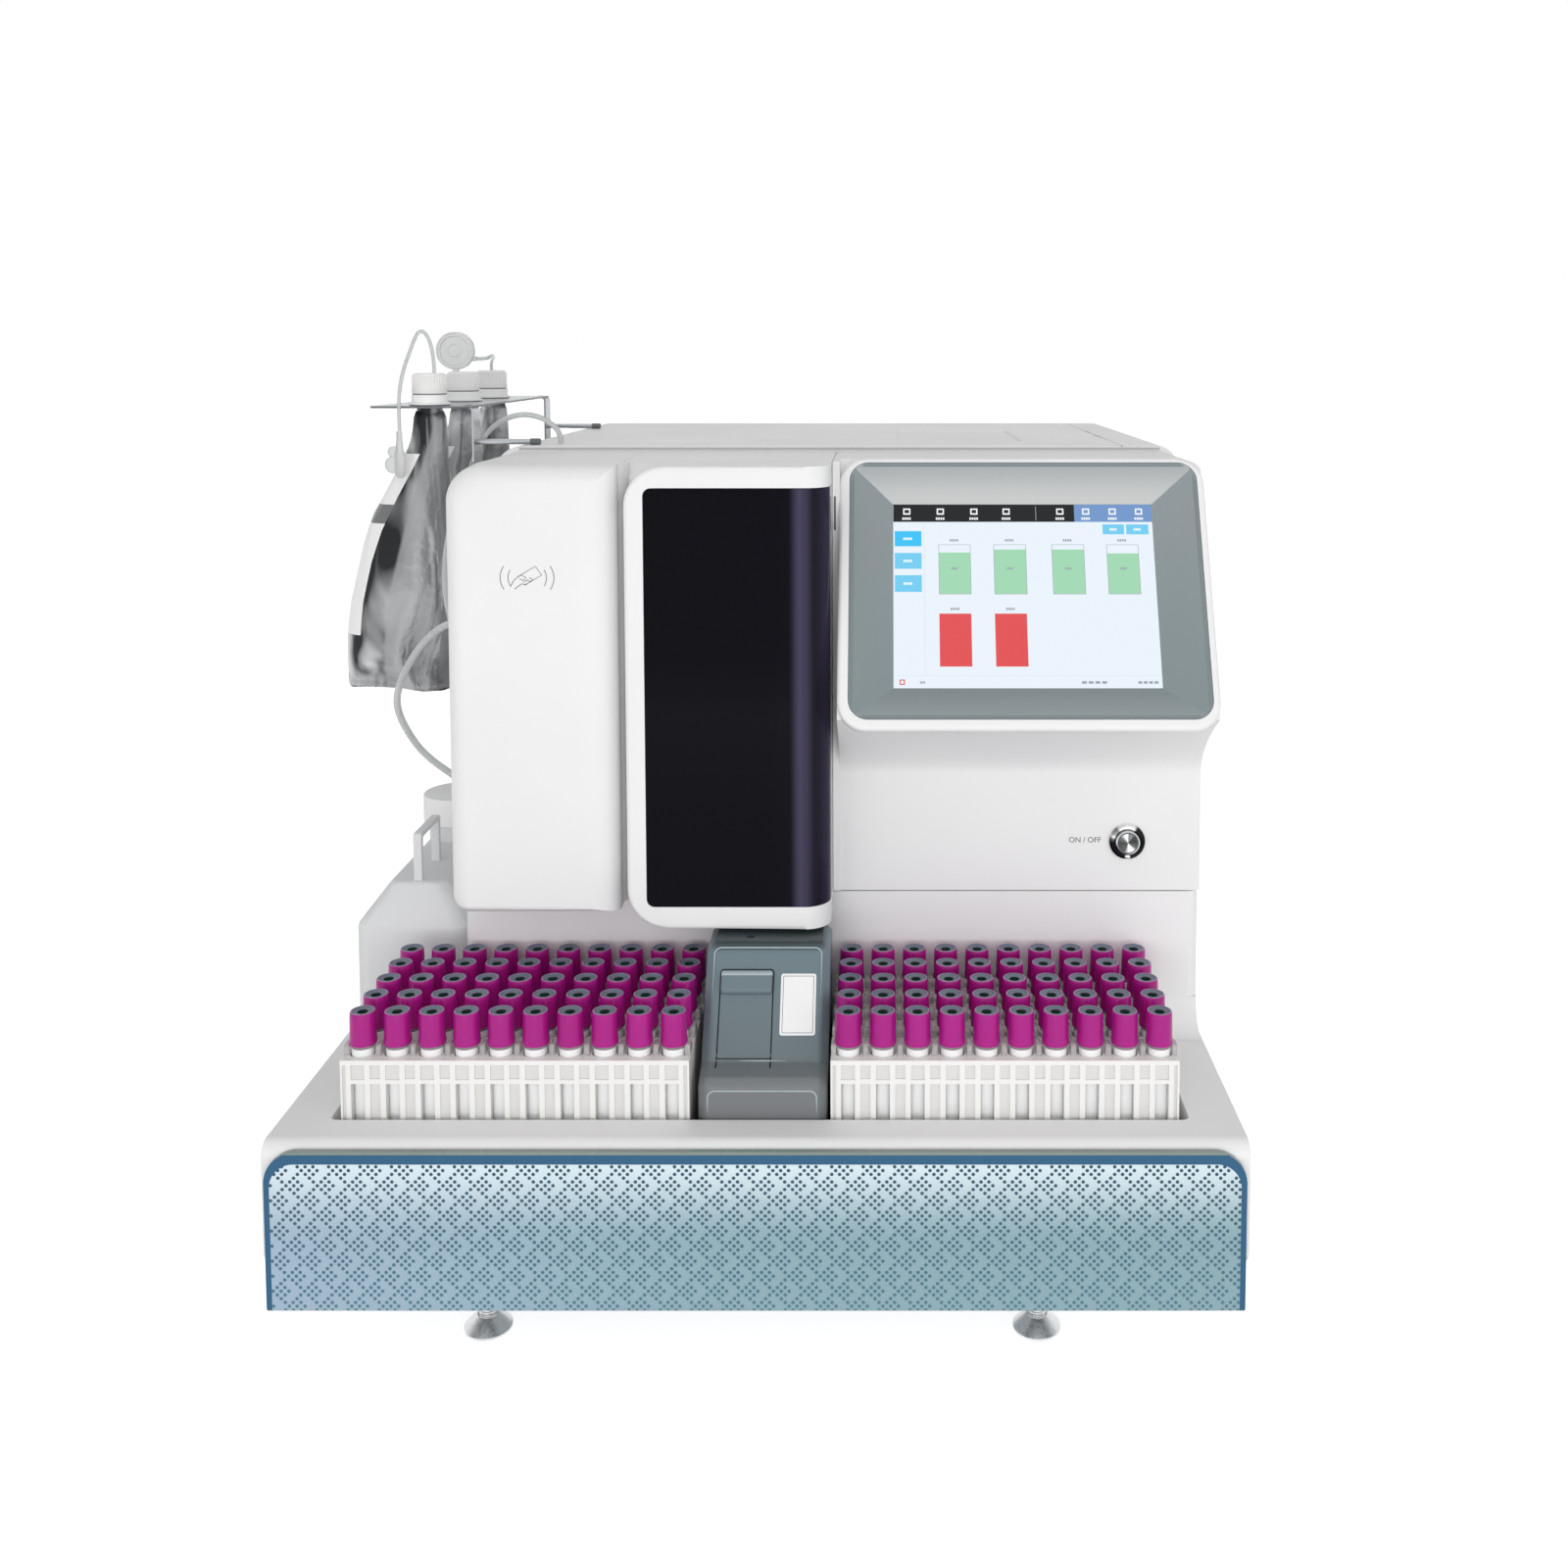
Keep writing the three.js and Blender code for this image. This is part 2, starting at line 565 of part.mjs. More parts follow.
function addTopLid() {
  const bottom = body.lidSeam;
  const [front, back] = [coverBack + gap, bodyBack];
  const outer = common(prismY(upperOutline(0, bottom), [front, back]),
    prismZ(cabinetPlan(0), [bottom - overrun, overLid]));
  const inner = common(prismY(upperOutline(body.wall, bottom - overrun), [front + body.wall, back]),
    prismZ(cabinetPlan(body.wall), [bottom - overrun, overLid]));
  add("top_lid", cut(outer, inner), material.white);
}

// Left front cover: a soft-edged block standing forward, with its top and side running back
function pillowBlock(wall, back) {
  const [left, right] = [bodyLeft + wall, pillowRight - wall];
  const front = pillowFront + wall;
  const [low, high] = [body.seam + pillow.rise + wall, body.top - wall];
  const corner = pillow.cornerRadius - wall;
  const face = roundedOutline([left, right], [low, high], [pillow.footCorner - wall, 0, 0, corner]);
  const round = pillow.frontRadius - wall;
  const plan = roundedOutline([left, right], [front, back], [round, pillow.sideRadius - wall, 0, 0]);
  const side = roundedOutline([front, back], [low, high], [pillow.footRadius - wall, 0, 0, round]);
  const tall = [low - overrun, high + overrun];
  return common(prismY(face, [front, back]), prismZ(plan, tall), prismX(side, [left, right]));
}

function addLeftCover() {
  const backBlock = (wall, [y0, y1], bottom) => prismY(
    roundedOutline([bodyLeft + wall, pillowRight - wall], [bottom, body.top - wall],
      [0, 0, 0, pillow.cornerRadius - wall]), [y0, y1]);
  const split = bodyFront + pillow.frontRadius;
  const outer = union(pillowBlock(0, split), backBlock(0, [bodyFront, coverBack], body.seam + gap));
  const inner = union(pillowBlock(body.wall, split),
    backBlock(body.wall, [bodyFront + body.wall, coverBack + overrun], body.seam - overrun));
  add("left_cover", cut(outer, inner), material.white);
}

// Bay behind the door, with the hinge's tabs, the needle's rail and the needle's slot
function hingeTabs() {
  const levels = [doorBottom + hinge.tabRise, body.top - hinge.tabRise - hinge.tabHeight];
  return levels.map((z) => {
    const span = [z, z + hinge.tabHeight];
    const root = box([bayLeft, hingeX + hinge.tabHalf], [bayFront, bayFront + bay.wall * 2], span);
    const arm = box([hingeX - hinge.tabHalf, hingeX + hinge.tabHalf], [hingeY, bayFront + bay.wall], span);
    const eye = cylinder(hinge.tabHalf, hingeX, hingeY, span);
    const hole = cylinder(hinge.rodRadius + gap, hingeX, hingeY,
      [z - overrun, z + hinge.tabHeight + overrun], boreSides);
    return cut(union(root, arm, eye), hole);
  });
}

function addBay() {
  const [left, right] = [bayLeft, door.right];
  const span = [body.seam + gap, body.top];
  const outer = prismZ(roundedOutline([left, right], [bayFront, coverBack], [0, 0, 0, 0]), span);
  const inner = box([left + bay.wall, right - bay.wall], [bayFront - overrun, coverBack - bay.wall],
    [span[0] + bay.wall, span[1] - bay.wall]);
  const rail = box([needle.x - bay.railWidth / 2, needle.x + bay.railWidth / 2],
    [coverBack - bay.wall - bay.railDepth, coverBack], [span[0], span[1]]);
  add("bay_housing", union(cut(outer, inner), rail, ...hingeTabs()), material.white);
}

function plateOutline(play) {
  const r = plate.cornerRadius + play;
  return roundedOutline([plate.left - play, headWidth - plate.right + play],
    [plate.bottom - play, display.height - plate.top + play], [r, r, r, r]);
}

// Right front cover: a flat face below and a tilted head for the screen above
const inDisplay = new THREE.Matrix4().makeRotationX(Math.PI / 2 - tilt)
  .setPosition(displayLeft, display.front, display.bottom);

function coverProfile() {
  const up = [Math.sin(tilt), Math.cos(tilt)];
  const out = [-Math.cos(tilt), Math.sin(tilt)];
  const at = (along, depth) => [
    display.front + up[0] * along - out[0] * depth, display.bottom + up[1] * along - out[1] * depth];
  const chin = at(display.coreInset, display.coreInset);
  const curve = new THREE.QuadraticBezierCurve(
    new THREE.Vector2(bodyFront, display.underside), new THREE.Vector2(bodyFront, chin[1]),
    new THREE.Vector2(...chin));
  const under = curve.getPoints(display.undersideSteps).map((p) => [p.x, p.y]);
  const head = at(display.height - display.backRun, display.coreInset);
  const bottom = body.seam + gap;
  return [[bodyFront, bottom], ...under, head, [head[0] + display.backRun, body.top], [coverBack, body.top],
    [coverBack, bottom]].reverse();
}

function shoulder(wall) {
  const outline = roundedOutline([displayLeft + wall, bodyRight - wall],
    [body.seam - overrun, body.top - wall], [0, 0, body.rightRadius - wall, 0]);
  return prismY(outline, [display.front, coverBack + overrun * 2]);
}

function addRightCover() {
  const profile = coverProfile();
  const outer = common(prismX(outlineOf(profile), [displayLeft, bodyRight]), shoulder(0));
  const face = [displayLeft + body.wall, bodyRight - body.wall];
  const hollow = common(prismX(outlineOf(inset(profile, body.wall)), face), shoulder(body.wall));
  const backCut = box(face, [coverBack - body.wall - overrun, coverBack + overrun],
    [body.seam - overrun, body.top - body.rightRadius - body.wall]);
  const floorCut = box(face, [bodyFront + body.wall, coverBack + overrun],
    [body.seam - overrun, body.seam + gap + body.wall + overrun]);
  const r = display.cornerRadius;
  const slab = solid(extrude(roundedOutline([0, headWidth], [0, display.height], [r, r, r, r]), display.slab)
    .translate(0, 0, -display.slab).applyMatrix4(inDisplay));
  const recess = solid(extrude(plateOutline(display.play), plate.thickness + display.play + overrun)
    .translate(0, 0, -plate.thickness - display.play).applyMatrix4(inDisplay));
  const holeRadius = button.sleeveRadius + gap;
  const hole = new THREE.CylinderGeometry(holeRadius, holeRadius, body.wall * 4, roundSides)
    .translate(buttonX, bodyFront, buttonZ);
  add("right_cover", cut(union(cut(outer, hollow), slab), backCut, floorCut, recess, hole), material.white);
}

// Screen: a bezel plate with the touch panel set into it
function addScreen() {
  const group = new THREE.Group();
  group.applyMatrix4(inDisplay);
  analyzer.add(group);
  const [left, right] = [plate.left + screen.left, headWidth - plate.right - screen.right];
  const [low, high] = [plate.bottom + screen.rise, display.height - plate.top - screen.drop];
  const opening = box([left - gap, right + gap], [low - gap, high + gap],
    [-plate.thickness - overrun, overrun]);
  const sheet = extrude(plateOutline(0), plate.thickness).translate(0, 0, -plate.thickness);
  add("display_plate", cut(sheet, opening), material.bezel, group);
  const panelTop = -screen.sink;
  add("touch_screen", box([left, right], [low, high], [panelTop - screen.thickness, panelTop]),
    material.screen, group);
}

// Door: a shell open at the back, its window wrapping round the right-hand edge
function doorBlock(wall, back) {
  const [left, right] = [doorLeft + wall, door.right - wall];
  const [low, high] = [doorBottom + wall, body.top - wall];
  const corner = door.cornerRadius - wall;
  const face = roundedOutline([left, right], [low, high], [corner, 0, 0, corner]);
  const plan = roundedOutline([left, right], [door.front + wall, back],
    [door.plainRadius - wall, door.wrapRadius - wall, 0, 0]);
  return common(prismY(face, [door.front + wall, back]), prismZ(plan, [low, high]));
}

function windowOutline(play) {
  const [left, right] = [doorLeft + pane.side + play, door.right + overrun];
  const [low, high] = [doorBottom + pane.footRail + play, body.top - pane.rail - play];
  return roundedOutline([left, right], [low, high], [pane.cornerRadius, 0, 0, pane.cornerRadius]);
}

function addDoor() {
  const back = door.front + door.depth;
  const shell = cut(doorBlock(0, back), doorBlock(door.wall, back + overrun));
  const window = prismY(windowOutline(0), [door.front - overrun, back + overrun]);
  const tabs = [doorBottom + hinge.tabRise, body.top - hinge.tabRise - hinge.tabHeight];
  const notches = tabs.map((z) => box([doorLeft - overrun, doorLeft + door.plainRadius + gap],
    [door.front + door.wall + gap, back + overrun],
    [z - hinge.notchPlay, z + hinge.tabHeight + hinge.notchPlay]));
  const half = hinge.knuckleHalf;
  const knuckles = [
    tabs[0] + hinge.tabHeight + hinge.notchPlay, tabs[1] - hinge.notchPlay - hinge.knuckleHeight];
  const blocks = knuckles.map((z) => box([doorLeft + gap, hingeX + half], [door.front + gap, hingeY + half],
    [z, z + hinge.knuckleHeight]));
  const pin = cylinder(hinge.rodRadius + gap, hingeX, hingeY,
    [doorBottom + door.wall, body.top - door.wall], boreSides);
  const slot = box([needle.x - bay.needleSlot / 2, needle.x + bay.needleSlot / 2],
    [needleY - bay.slotReach, back + overrun], [doorBottom - overrun, doorBottom + door.wall + overrun]);
  add("front_door", cut(union(cut(shell, window, ...notches), ...blocks), pin, slot), material.white);
  const sheet = cut(doorBlock(0, back - gap), doorBlock(pane.thickness, back + overrun));
  add("door_window", common(sheet, prismY(windowOutline(gap), [door.front - overrun, back + overrun])),
    material.window);
  const rod = [tabs[0] - hinge.tabHeight, tabs[1] + hinge.tabHeight * 2];
  add("door_hinge_rod", cylinder(hinge.rodRadius, hingeX, hingeY, rod, boreSides), material.steel);
}

// Power button: a chromed ring through the face, with a sprung cap inside it
function addButton() {
  const group = new THREE.Group();
  group.position.set(buttonX, bodyFront, buttonZ);
  group.rotation.x = Math.PI / 2;
  analyzer.add(group);
  const [low, high] = [-button.sleeveLength, gap + button.flange];
  add("power_button_ring", lathe([
    [button.boreRadius, low], [button.sleeveRadius, low], [button.sleeveRadius, gap],
    [button.flangeRadius, gap], [button.flangeRadius, high - button.dome],
    [button.flangeRadius - button.dome, high], [button.boreRadius, high], [button.boreRadius, low],
  ]), material.chrome, group);
  add("power_button", lathe([
    [0, button.proud - button.capLength], [button.capRadius, button.proud - button.capLength],
    [button.capRadius, button.proud - button.dome], [button.capRadius - button.dome, button.proud],
    [0, button.proud],
  ]), material.chrome, group);
}

// Needle carriage on its rail
function addNeedle() {
  const [left, right] = [needle.x - needle.block / 2, needle.x + needle.block / 2];
  const back = coverBack - bay.wall - gap;
  const low = needleTip + needle.blockRise;
  const span = [low, low + needle.blockHeight];
  const block = box([left, right], [back - needle.blockDepth, back], span);
  const half = bay.railWidth / 2 + gap;
  const groove = box([needle.x - half, needle.x + half], [back - bay.railDepth, back + overrun],
    [span[0] - overrun, span[1] + overrun]);
  const arm = box([needle.x - needle.arm / 2, needle.x + needle.arm / 2],
    [needleY - needle.arm / 2, back - needle.blockDepth + overrun], [low, low + needle.arm]);
  const point = cylinder(needle.radius, needle.x, needleY, [needleTip, low + overrun], rodSides);
  add("needle_unit", union(cut(block, groove), arm, point), material.works);
}

// Pump with its two heads and its valve, and the column oven
function addPump() {
  const block = box([pumpX, pumpX + pump.width], [pumpY, pumpY + pump.depth],
    [tray.bottom, tray.bottom + pump.height]);
  const head = (radius, length, x, z) =>
    new THREE.CylinderGeometry(radius, radius, length + overrun, boreSides)
      .translate(x, pumpY - length / 2 + overrun / 2, z);
  const middle = pumpX + pump.width / 2;
  const row = tray.bottom + pump.height * pump.headShare;
  const heads = [-1, 1].map((side) =>
    head(pump.headRadius, pump.headLength, middle + (side * pump.headPitch) / 2, row));
  const valve = head(pump.valveRadius, pump.valveLength, middle, tray.bottom + pump.height * pump.valveShare);
  add("elution_pump", union(block, ...heads, valve), material.works);
}

function addOven() {
  const block = box([ovenX, ovenX + oven.width], [ovenY, ovenY + oven.depth],
    [tray.bottom, tray.bottom + oven.height]);
  const hatchLeft = ovenX + (oven.width - oven.doorWidth) / 2;
  const hatchLow = tray.bottom + (oven.height - oven.doorHeight) / 2;
  const hatch = box([hatchLeft, hatchLeft + oven.doorWidth], [ovenY - oven.doorProud, ovenY + overrun],
    [hatchLow, hatchLow + oven.doorHeight]);
  const column = cylinder(oven.columnRadius, ovenX + oven.width / 2, ovenY + oven.depth / 2,
    [tray.bottom + oven.height - overrun, tray.bottom + oven.height + oven.columnRadius * 2], boreSides);
  add("column_oven", union(block, hatch, column), material.works);
}

// Bracket: a plate with two arms whose hooks lie on the lid
function addBracket() {
  const sheet = [bracketLevel, bracketLevel + bracket.thickness];
  const flat = box([bracketRight - bracket.width, bracketRight], [bracketFront, bracketBack], sheet);
  const through = [sheet[0] - overrun, sheet[1] + overrun];
  const holes = Array.from({ length: pouch.count }, (_, i) =>
    cylinder(bracket.holeRadius, pouchX, pouchY(i), through, boreSides));
  const lidTop = body.top + body.lidRise + gap;
  const arms = [bracketFront + bracket.frontArm, bracketBack - bracket.rearArm].map((y) => {
    const half = bracket.armWidth / 2;
    const down = box([bracketRight - bracket.thickness, bracketRight], [y - half, y + half],
      [lidTop, sheet[1]]);
    const hook = box([bracketRight - bracket.thickness, bracketRight + bracket.hookReach],
      [y - bracket.hookRadius, y + bracket.hookRadius], [lidTop, lidTop + bracket.hookRadius * 2]);
    return union(down, hook);
  });
  add("bag_bracket", union(cut(flat, ...holes), ...arms), material.steel);
}

// Reagent pouches: each a loft from its round neck down to its sealed bottom edge, with a ribbed cap
function addPouches() {
  const neckTop = bracketLevel + bracket.thickness;
  const neckFoot = bracketLevel - pouch.neckHeight;
  const foot = neckFoot - pouch.length;
  for (let i = 0; i < pouch.count; i += 1) {
    const y = pouchY(i);
    const rings = pouchHeightShares.map((share, k) => ring(
      pouchX + pouchShifts[k], y, foot + pouch.length * share,
      pouchWidths[k], pouchDepths[k], pouch.sides));
    const neck = cylinder(pouch.neckRadius, pouchX, y, [neckFoot - overrun, neckTop], boreSides);
    add(`reagent_bag_${i + 1}`, union(loft(rings), neck), material.foil);
    const collarFoot = neckTop + gap;
    const cap = lathe([
      [0, collarFoot], [pouch.collarRadius, collarFoot],
      [pouch.collarRadius, collarFoot + pouch.collarHeight],
      [pouch.capRadius, collarFoot + pouch.collarHeight],
      [pouch.capTopRadius, collarFoot + pouch.capHeight], [0, collarFoot + pouch.capHeight],
    ], boreSides).translate(pouchX, y, 0);
    add(`bag_cap_${i + 1}`, cap, material.cap);
  }
}

// Waste bottle: a hollow moulding with a sloped crown, a bail handle and a screw cap
function bottleSkin(wall) {
  const [x, y] = [bottleLeft + bottle.width / 2, bottleFront + bottle.depth / 2];
  const [halfX, halfY] = [bottle.width / 2 - wall, bottle.depth / 2 - wall];
  const level = (z, shrink) =>
    ring(x, y, z, halfX - shrink, halfY - shrink, bottle.sides, bottle.roundShare);
  return loft([level(wall, wall + bottle.footInset), level(wall * 2 + bottle.footRise, 0),
    level(bottle.shoulder - wall, 0), level(bottle.crown - wall, bottle.crownInset)]);
}

function addBottle() {
  const x = bottleLeft + bottle.width / 2;
  const y = bottleFront + bottle.depth - bottle.capBack;
  const neck = cylinder(bottle.neckRadius, x, y, [bottle.crown - overrun * 2, bottle.neckTop]);
  const bore = cylinder(bottle.neckRadius - bottle.boreInset, x, y,
    [bottle.crown - overrun * 4, bottle.neckTop + overrun]);
  const y0 = bottleFront + bottle.handleFront;
  const y1 = y0 + bottle.handleLength;
  const archFoot = bottle.crown - overrun;
  const top = bottle.crown + bottle.handleRise;
  const arch = cut(
    prismX(roundedOutline([y0, y1], [archFoot, top], [0, 0, bottle.handleBar, bottle.handleBar]),
      [x - bottle.handleWidth / 2, x + bottle.handleWidth / 2]),
    box([x - bottle.handleWidth, x + bottle.handleWidth], [y0 + bottle.handlePost, y1 - bottle.handlePost],
      [bottle.crown - overrun * 2, top - bottle.handleBar]));
  const shell = cut(union(bottleSkin(0), neck), bottleSkin(bottle.wall), bore);
  add("waste_bottle", union(shell, arch), material.bottle);
  const capFoot = bottle.neckTop + gap;
  add("waste_cap", cylinder(bottle.capRadius, x, y, [capFoot, capFoot + bottle.capHeight]), material.cap);
}

// Free tubes
function tubeAlong(points, line) {
  const path = new THREE.CatmullRomCurve3(points.map(([x, y, z]) => new THREE.Vector3(x, y, z)));
  const section = new THREE.Shape(Array.from({ length: line.sides }, (_, i) => {
    const angle = (i / line.sides) * Math.PI * 2;
    return new THREE.Vector2(Math.cos(angle) * line.diameter / 2, Math.sin(angle) * line.diameter / 2);
  }));
  return new THREE.ExtrudeGeometry(section, { steps: line.steps, extrudePath: path, bevelEnabled: false });
}

const pickupRoute = [
  [-241.5, 202, 555.6], [-241.6, 202, 560], [-241.9, 201.6, 566], [-242.8, 201, 573], [-244.7, 199.6, 580],
  [-247.6, 198, 584], [-250.6, 196.3, 583], [-253.3, 194.6, 577], [-255.3, 192.6, 570], [-257.8, 188.4, 560],
  [-259.3, 185, 550], [-260.2, 183.2, 540], [-260.5, 183, 530], [-260.5, 183, 522], [-260.5, 183, 516.1],
];
const filterRoute = [
  [-233.6, 285.5, 565], [-231, 285.5, 565], [-228, 286.6, 565.3], [-226.4, 290.5, 566],
  [-226.6, 296, 566.8], [-227.6, 304, 567.3], [-230.4, 316, 567.2], [-232.8, 328, 566.6],
  [-236, 340, 565.4], [-239.4, 351, 564.2], [-242.2, 359.6, 562.6],
  [-244.1, 365.4, 560.8], [-244.9, 368.2, 558.4], [-245, 369, 555.7],
];
const lineRoute = [
  [-159.6, 229, 505.4], [-160.4, 229, 510], [-163.2, 229.5, 515.4], [-168.3, 230, 519.8], [-175, 231, 523.2],
  [-183, 232.5, 525], [-191, 234, 524.9], [-199, 235.2, 522.8], [-206.5, 236, 519], [-212.8, 235.8, 513.6],
  [-217.2, 233.8, 507.4], [-219.6, 229.5, 501], [-220.4, 222, 494], [-220.9, 212, 486.5], [-221.3, 200, 478],
  [-221.7, 187, 468.5], [-222.2, 174, 458], [-222.6, 163, 446], [-222.9, 156, 432], [-222.6, 153, 416],
  [-221.5, 153, 402], [-219, 153, 390], [-214.8, 153, 380.5], [-209.4, 153, 374.6], [-205, 153, 372.8],
  [-201.5, 153, 372.6],
];
const wasteRoute = [
  [-201.4, 143, 392], [-207, 143, 392], [-214, 143, 391.2], [-222, 143.8, 388], [-231, 146.5, 381.5],
  [-239.5, 151, 373], [-247.5, 157, 363], [-255, 163.5, 352], [-260.5, 169.5, 341], [-264, 176, 330.5],
  [-265.7, 184.5, 320.5], [-265.8, 195, 309.5], [-264.5, 206, 298], [-261.8, 217, 286.5],
  [-256.5, 227, 275.5], [-250, 235, 266.5], [-244.9, 240.4, 260], [-242.2, 242.6, 254.6],
  [-241.8, 243, 251.4], [-241.8, 243, 248.4],
];

function addTubes() {
  add("pickup_tube", tubeAlong(pickupRoute, thinTube), material.clear);
  add("filter_tube", tubeAlong(filterRoute, thinTube), material.clear);
  add("line_tube", tubeAlong(lineRoute, lineTube), material.clear);
  add("waste_tube", tubeAlong(wasteRoute, wasteTube), material.clear);
}

// Round filter standing on the middle cap, and the winged filter on the end of the pickup tube
function addFilters() {
  const discZ = pouchCapTop + discFilter.rise;
  const [x, y] = [pouchX - discFilter.aside, pouchY(1)];
  const { radius, portRadius, portLength } = discFilter;
  const disc = new THREE.CylinderGeometry(radius, radius, discFilter.thickness, discSides)
    .translate(x, y, discZ);
  const stem = cylinder(discFilter.stemRadius, x, y, [pouchCapTop + gap, discZ], rodSides);
  const port = new THREE.CylinderGeometry(portRadius, portRadius, portLength, rodSides)
    .rotateZ(Math.PI / 2).translate(x + portLength / 2, y, discZ - discFilter.portDrop);
  add("vent_filter", union(disc, stem, port), material.clear);
  const low = bracketLevel - wingFilter.drop;
  const top = low + wingFilter.length;
  const [filterX, filterY] = [bodyLeft - wingFilter.sideGap, bodyFront + wingFilter.frontInset];
  const barrel = cylinder(wingFilter.radius, filterX, filterY, [low, low + wingFilter.barrelLength],
    gripSides);
  const stub = cylinder(wingFilter.stubRadius, filterX, filterY, [low + wingFilter.wingRise, top], gripSides);
  const wing = box([filterX - wingFilter.wing, filterX],
    [filterY - wingFilter.wingThickness / 2, filterY + wingFilter.wingThickness / 2],
    [low + wingFilter.wingRise, low + wingFilter.wingRise + wingFilter.wingHeight]);
  add("inline_filter", union(barrel, stub, wing), material.clear);
}

addBase();
addTray();
addPanel();
addRacks();
addTower();
addLowerCover();
addRearHousing();
addTopLid();
addLeftCover();
addBay();
addRightCover();
addScreen();
addDoor();
addButton();
addNeedle();
addPump();
addOven();
addBracket();
addPouches();
addBottle();
addTubes();
addFilters();

// Origin at the middle of the footprint, on the bench, measured without the free tubes
const loose = ["pickup_tube", "filter_tube", "line_tube", "waste_tube", "vent_filter", "inline_filter"];
const extent = new THREE.Box3();
analyzer.updateMatrixWorld(true);
analyzer.traverse((item) => {
  if (item.isMesh && !loose.includes(item.name)) extent.expandByObject(item, true);
});
const middle = extent.getCenter(new THREE.Vector3());
analyzer.position.set(-middle.x, -middle.y, -extent.min.z);

const part = new THREE.Group();
part.add(analyzer);
export default part;
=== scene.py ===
# Looks of a bench-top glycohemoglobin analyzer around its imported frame.
# Sizes are millimetres in the maker's axes: X from the middle of the tower, Y back from the front row
# of tubes, Z up from the bench. spot() turns them into the frame's metres.

import math

import bpy
from mathutils import Matrix, Vector


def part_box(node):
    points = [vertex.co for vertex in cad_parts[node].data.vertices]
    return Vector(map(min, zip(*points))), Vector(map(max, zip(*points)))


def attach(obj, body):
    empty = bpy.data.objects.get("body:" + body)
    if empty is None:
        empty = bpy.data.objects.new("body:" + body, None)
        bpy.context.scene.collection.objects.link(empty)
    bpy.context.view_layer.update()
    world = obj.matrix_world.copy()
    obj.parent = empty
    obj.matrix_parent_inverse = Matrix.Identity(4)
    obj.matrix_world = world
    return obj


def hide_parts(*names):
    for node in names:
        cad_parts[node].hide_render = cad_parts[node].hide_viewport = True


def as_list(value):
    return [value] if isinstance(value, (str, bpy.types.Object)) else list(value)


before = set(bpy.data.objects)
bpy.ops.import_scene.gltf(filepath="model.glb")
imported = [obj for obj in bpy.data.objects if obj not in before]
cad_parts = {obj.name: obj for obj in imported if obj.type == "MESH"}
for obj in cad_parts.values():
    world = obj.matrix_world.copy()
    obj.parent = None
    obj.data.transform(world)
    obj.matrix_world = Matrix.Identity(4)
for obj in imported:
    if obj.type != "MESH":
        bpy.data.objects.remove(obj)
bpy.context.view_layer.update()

MM = 0.001
RACK_START, RACK_DEPTH = 40.5, 22.0
TUBE_COUNT, TUBE_PITCH, ROWS, ROW_PITCH = 10, 20.0, 5, 23.0
rack_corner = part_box("rack_right_1")[0]
SHIFT = Vector((rack_corner.x / MM - RACK_START, rack_corner.y / MM + RACK_DEPTH / 2, 0))


def spot(x, y, z):
    """A place in the maker's millimetres, in the frame's metres."""
    return (Vector((x, y, z)) + SHIFT) * MM


def span(node_name):
    """A node's X, Y and Z ranges in the maker's millimetres."""
    low, high = (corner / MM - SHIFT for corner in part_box(node_name))
    return list(zip(low, high))


# Modelling by hand
def object_mode():
    if bpy.context.object and bpy.context.object.mode != "OBJECT":
        bpy.ops.object.mode_set(mode="OBJECT")


def only(*pieces):
    """Object mode with these pieces alone selected, the first of them active."""
    object_mode()
    bpy.ops.object.select_all(action="DESELECT")
    for piece in pieces:
        piece.select_set(True)
    if pieces:
        bpy.context.view_layer.objects.active = pieces[0]


def edit(piece, kind):
    """Edit mode with all vertices, edges or faces of a piece selected."""
    only(piece)
    bpy.ops.object.mode_set(mode="EDIT")
    bpy.ops.mesh.select_mode(type=kind)
    bpy.ops.mesh.select_all(action="SELECT")


def called(piece, name):
    piece.name = name
    piece.data.name = name
    return piece


def named(name):
    """Names the new primitive and moves its place into its mesh."""
    bpy.ops.object.transform_apply(location=True, rotation=True, scale=True)
    return called(bpy.context.object, name)


def added(name, data):
    """A new object in the scene."""
    made = bpy.data.objects.new(name, data)
    bpy.context.scene.collection.objects.link(made)
    return made


def choose(piece, kind, test):
    """Edit mode with the edges or faces chosen whose middle and direction, or normal, pass a test."""
    edit(piece, kind)
    bpy.ops.mesh.select_all(action="DESELECT")
    object_mode()
    corners_of = piece.data.vertices
    items = piece.data.edges if kind == "EDGE" else piece.data.polygons
    for item in items:
        corners = [corners_of[i].co for i in item.vertices]
        middle = sum(corners, Vector()) / len(corners) / MM - SHIFT
        direction = (corners[1] - corners[0]).normalized() if kind == "EDGE" else item.normal
        item.select = test(middle, direction)
    if not any(item.select for item in items):
        raise ValueError(f"nothing chosen on {piece.name}")
    bpy.ops.object.mode_set(mode="EDIT")


def along(axis, where=None):
    """A test for edges that run along an axis, with a further test on their middle."""
    number = "xyz".index(axis)
    return lambda m, d: abs(d[number]) > 0.9 and (where is None or where(m))


def faces_up(middle, normal):
    return normal.z > 0.9


def round_edges(piece, radius, test, segments=6):
    choose(piece, "EDGE", test)
    bpy.ops.mesh.bevel(offset=radius * MM, segments=segments, clamp_overlap=False)
    object_mode()
    return piece


def modify(piece, kind, **settings):
    """Adds a modifier and applies it."""
    only(piece)
    made = piece.modifiers.new(kind.title(), kind)
    for key, value in settings.items():
        setattr(made, key, value)
    bpy.ops.object.modifier_apply(modifier=made.name)
    return piece


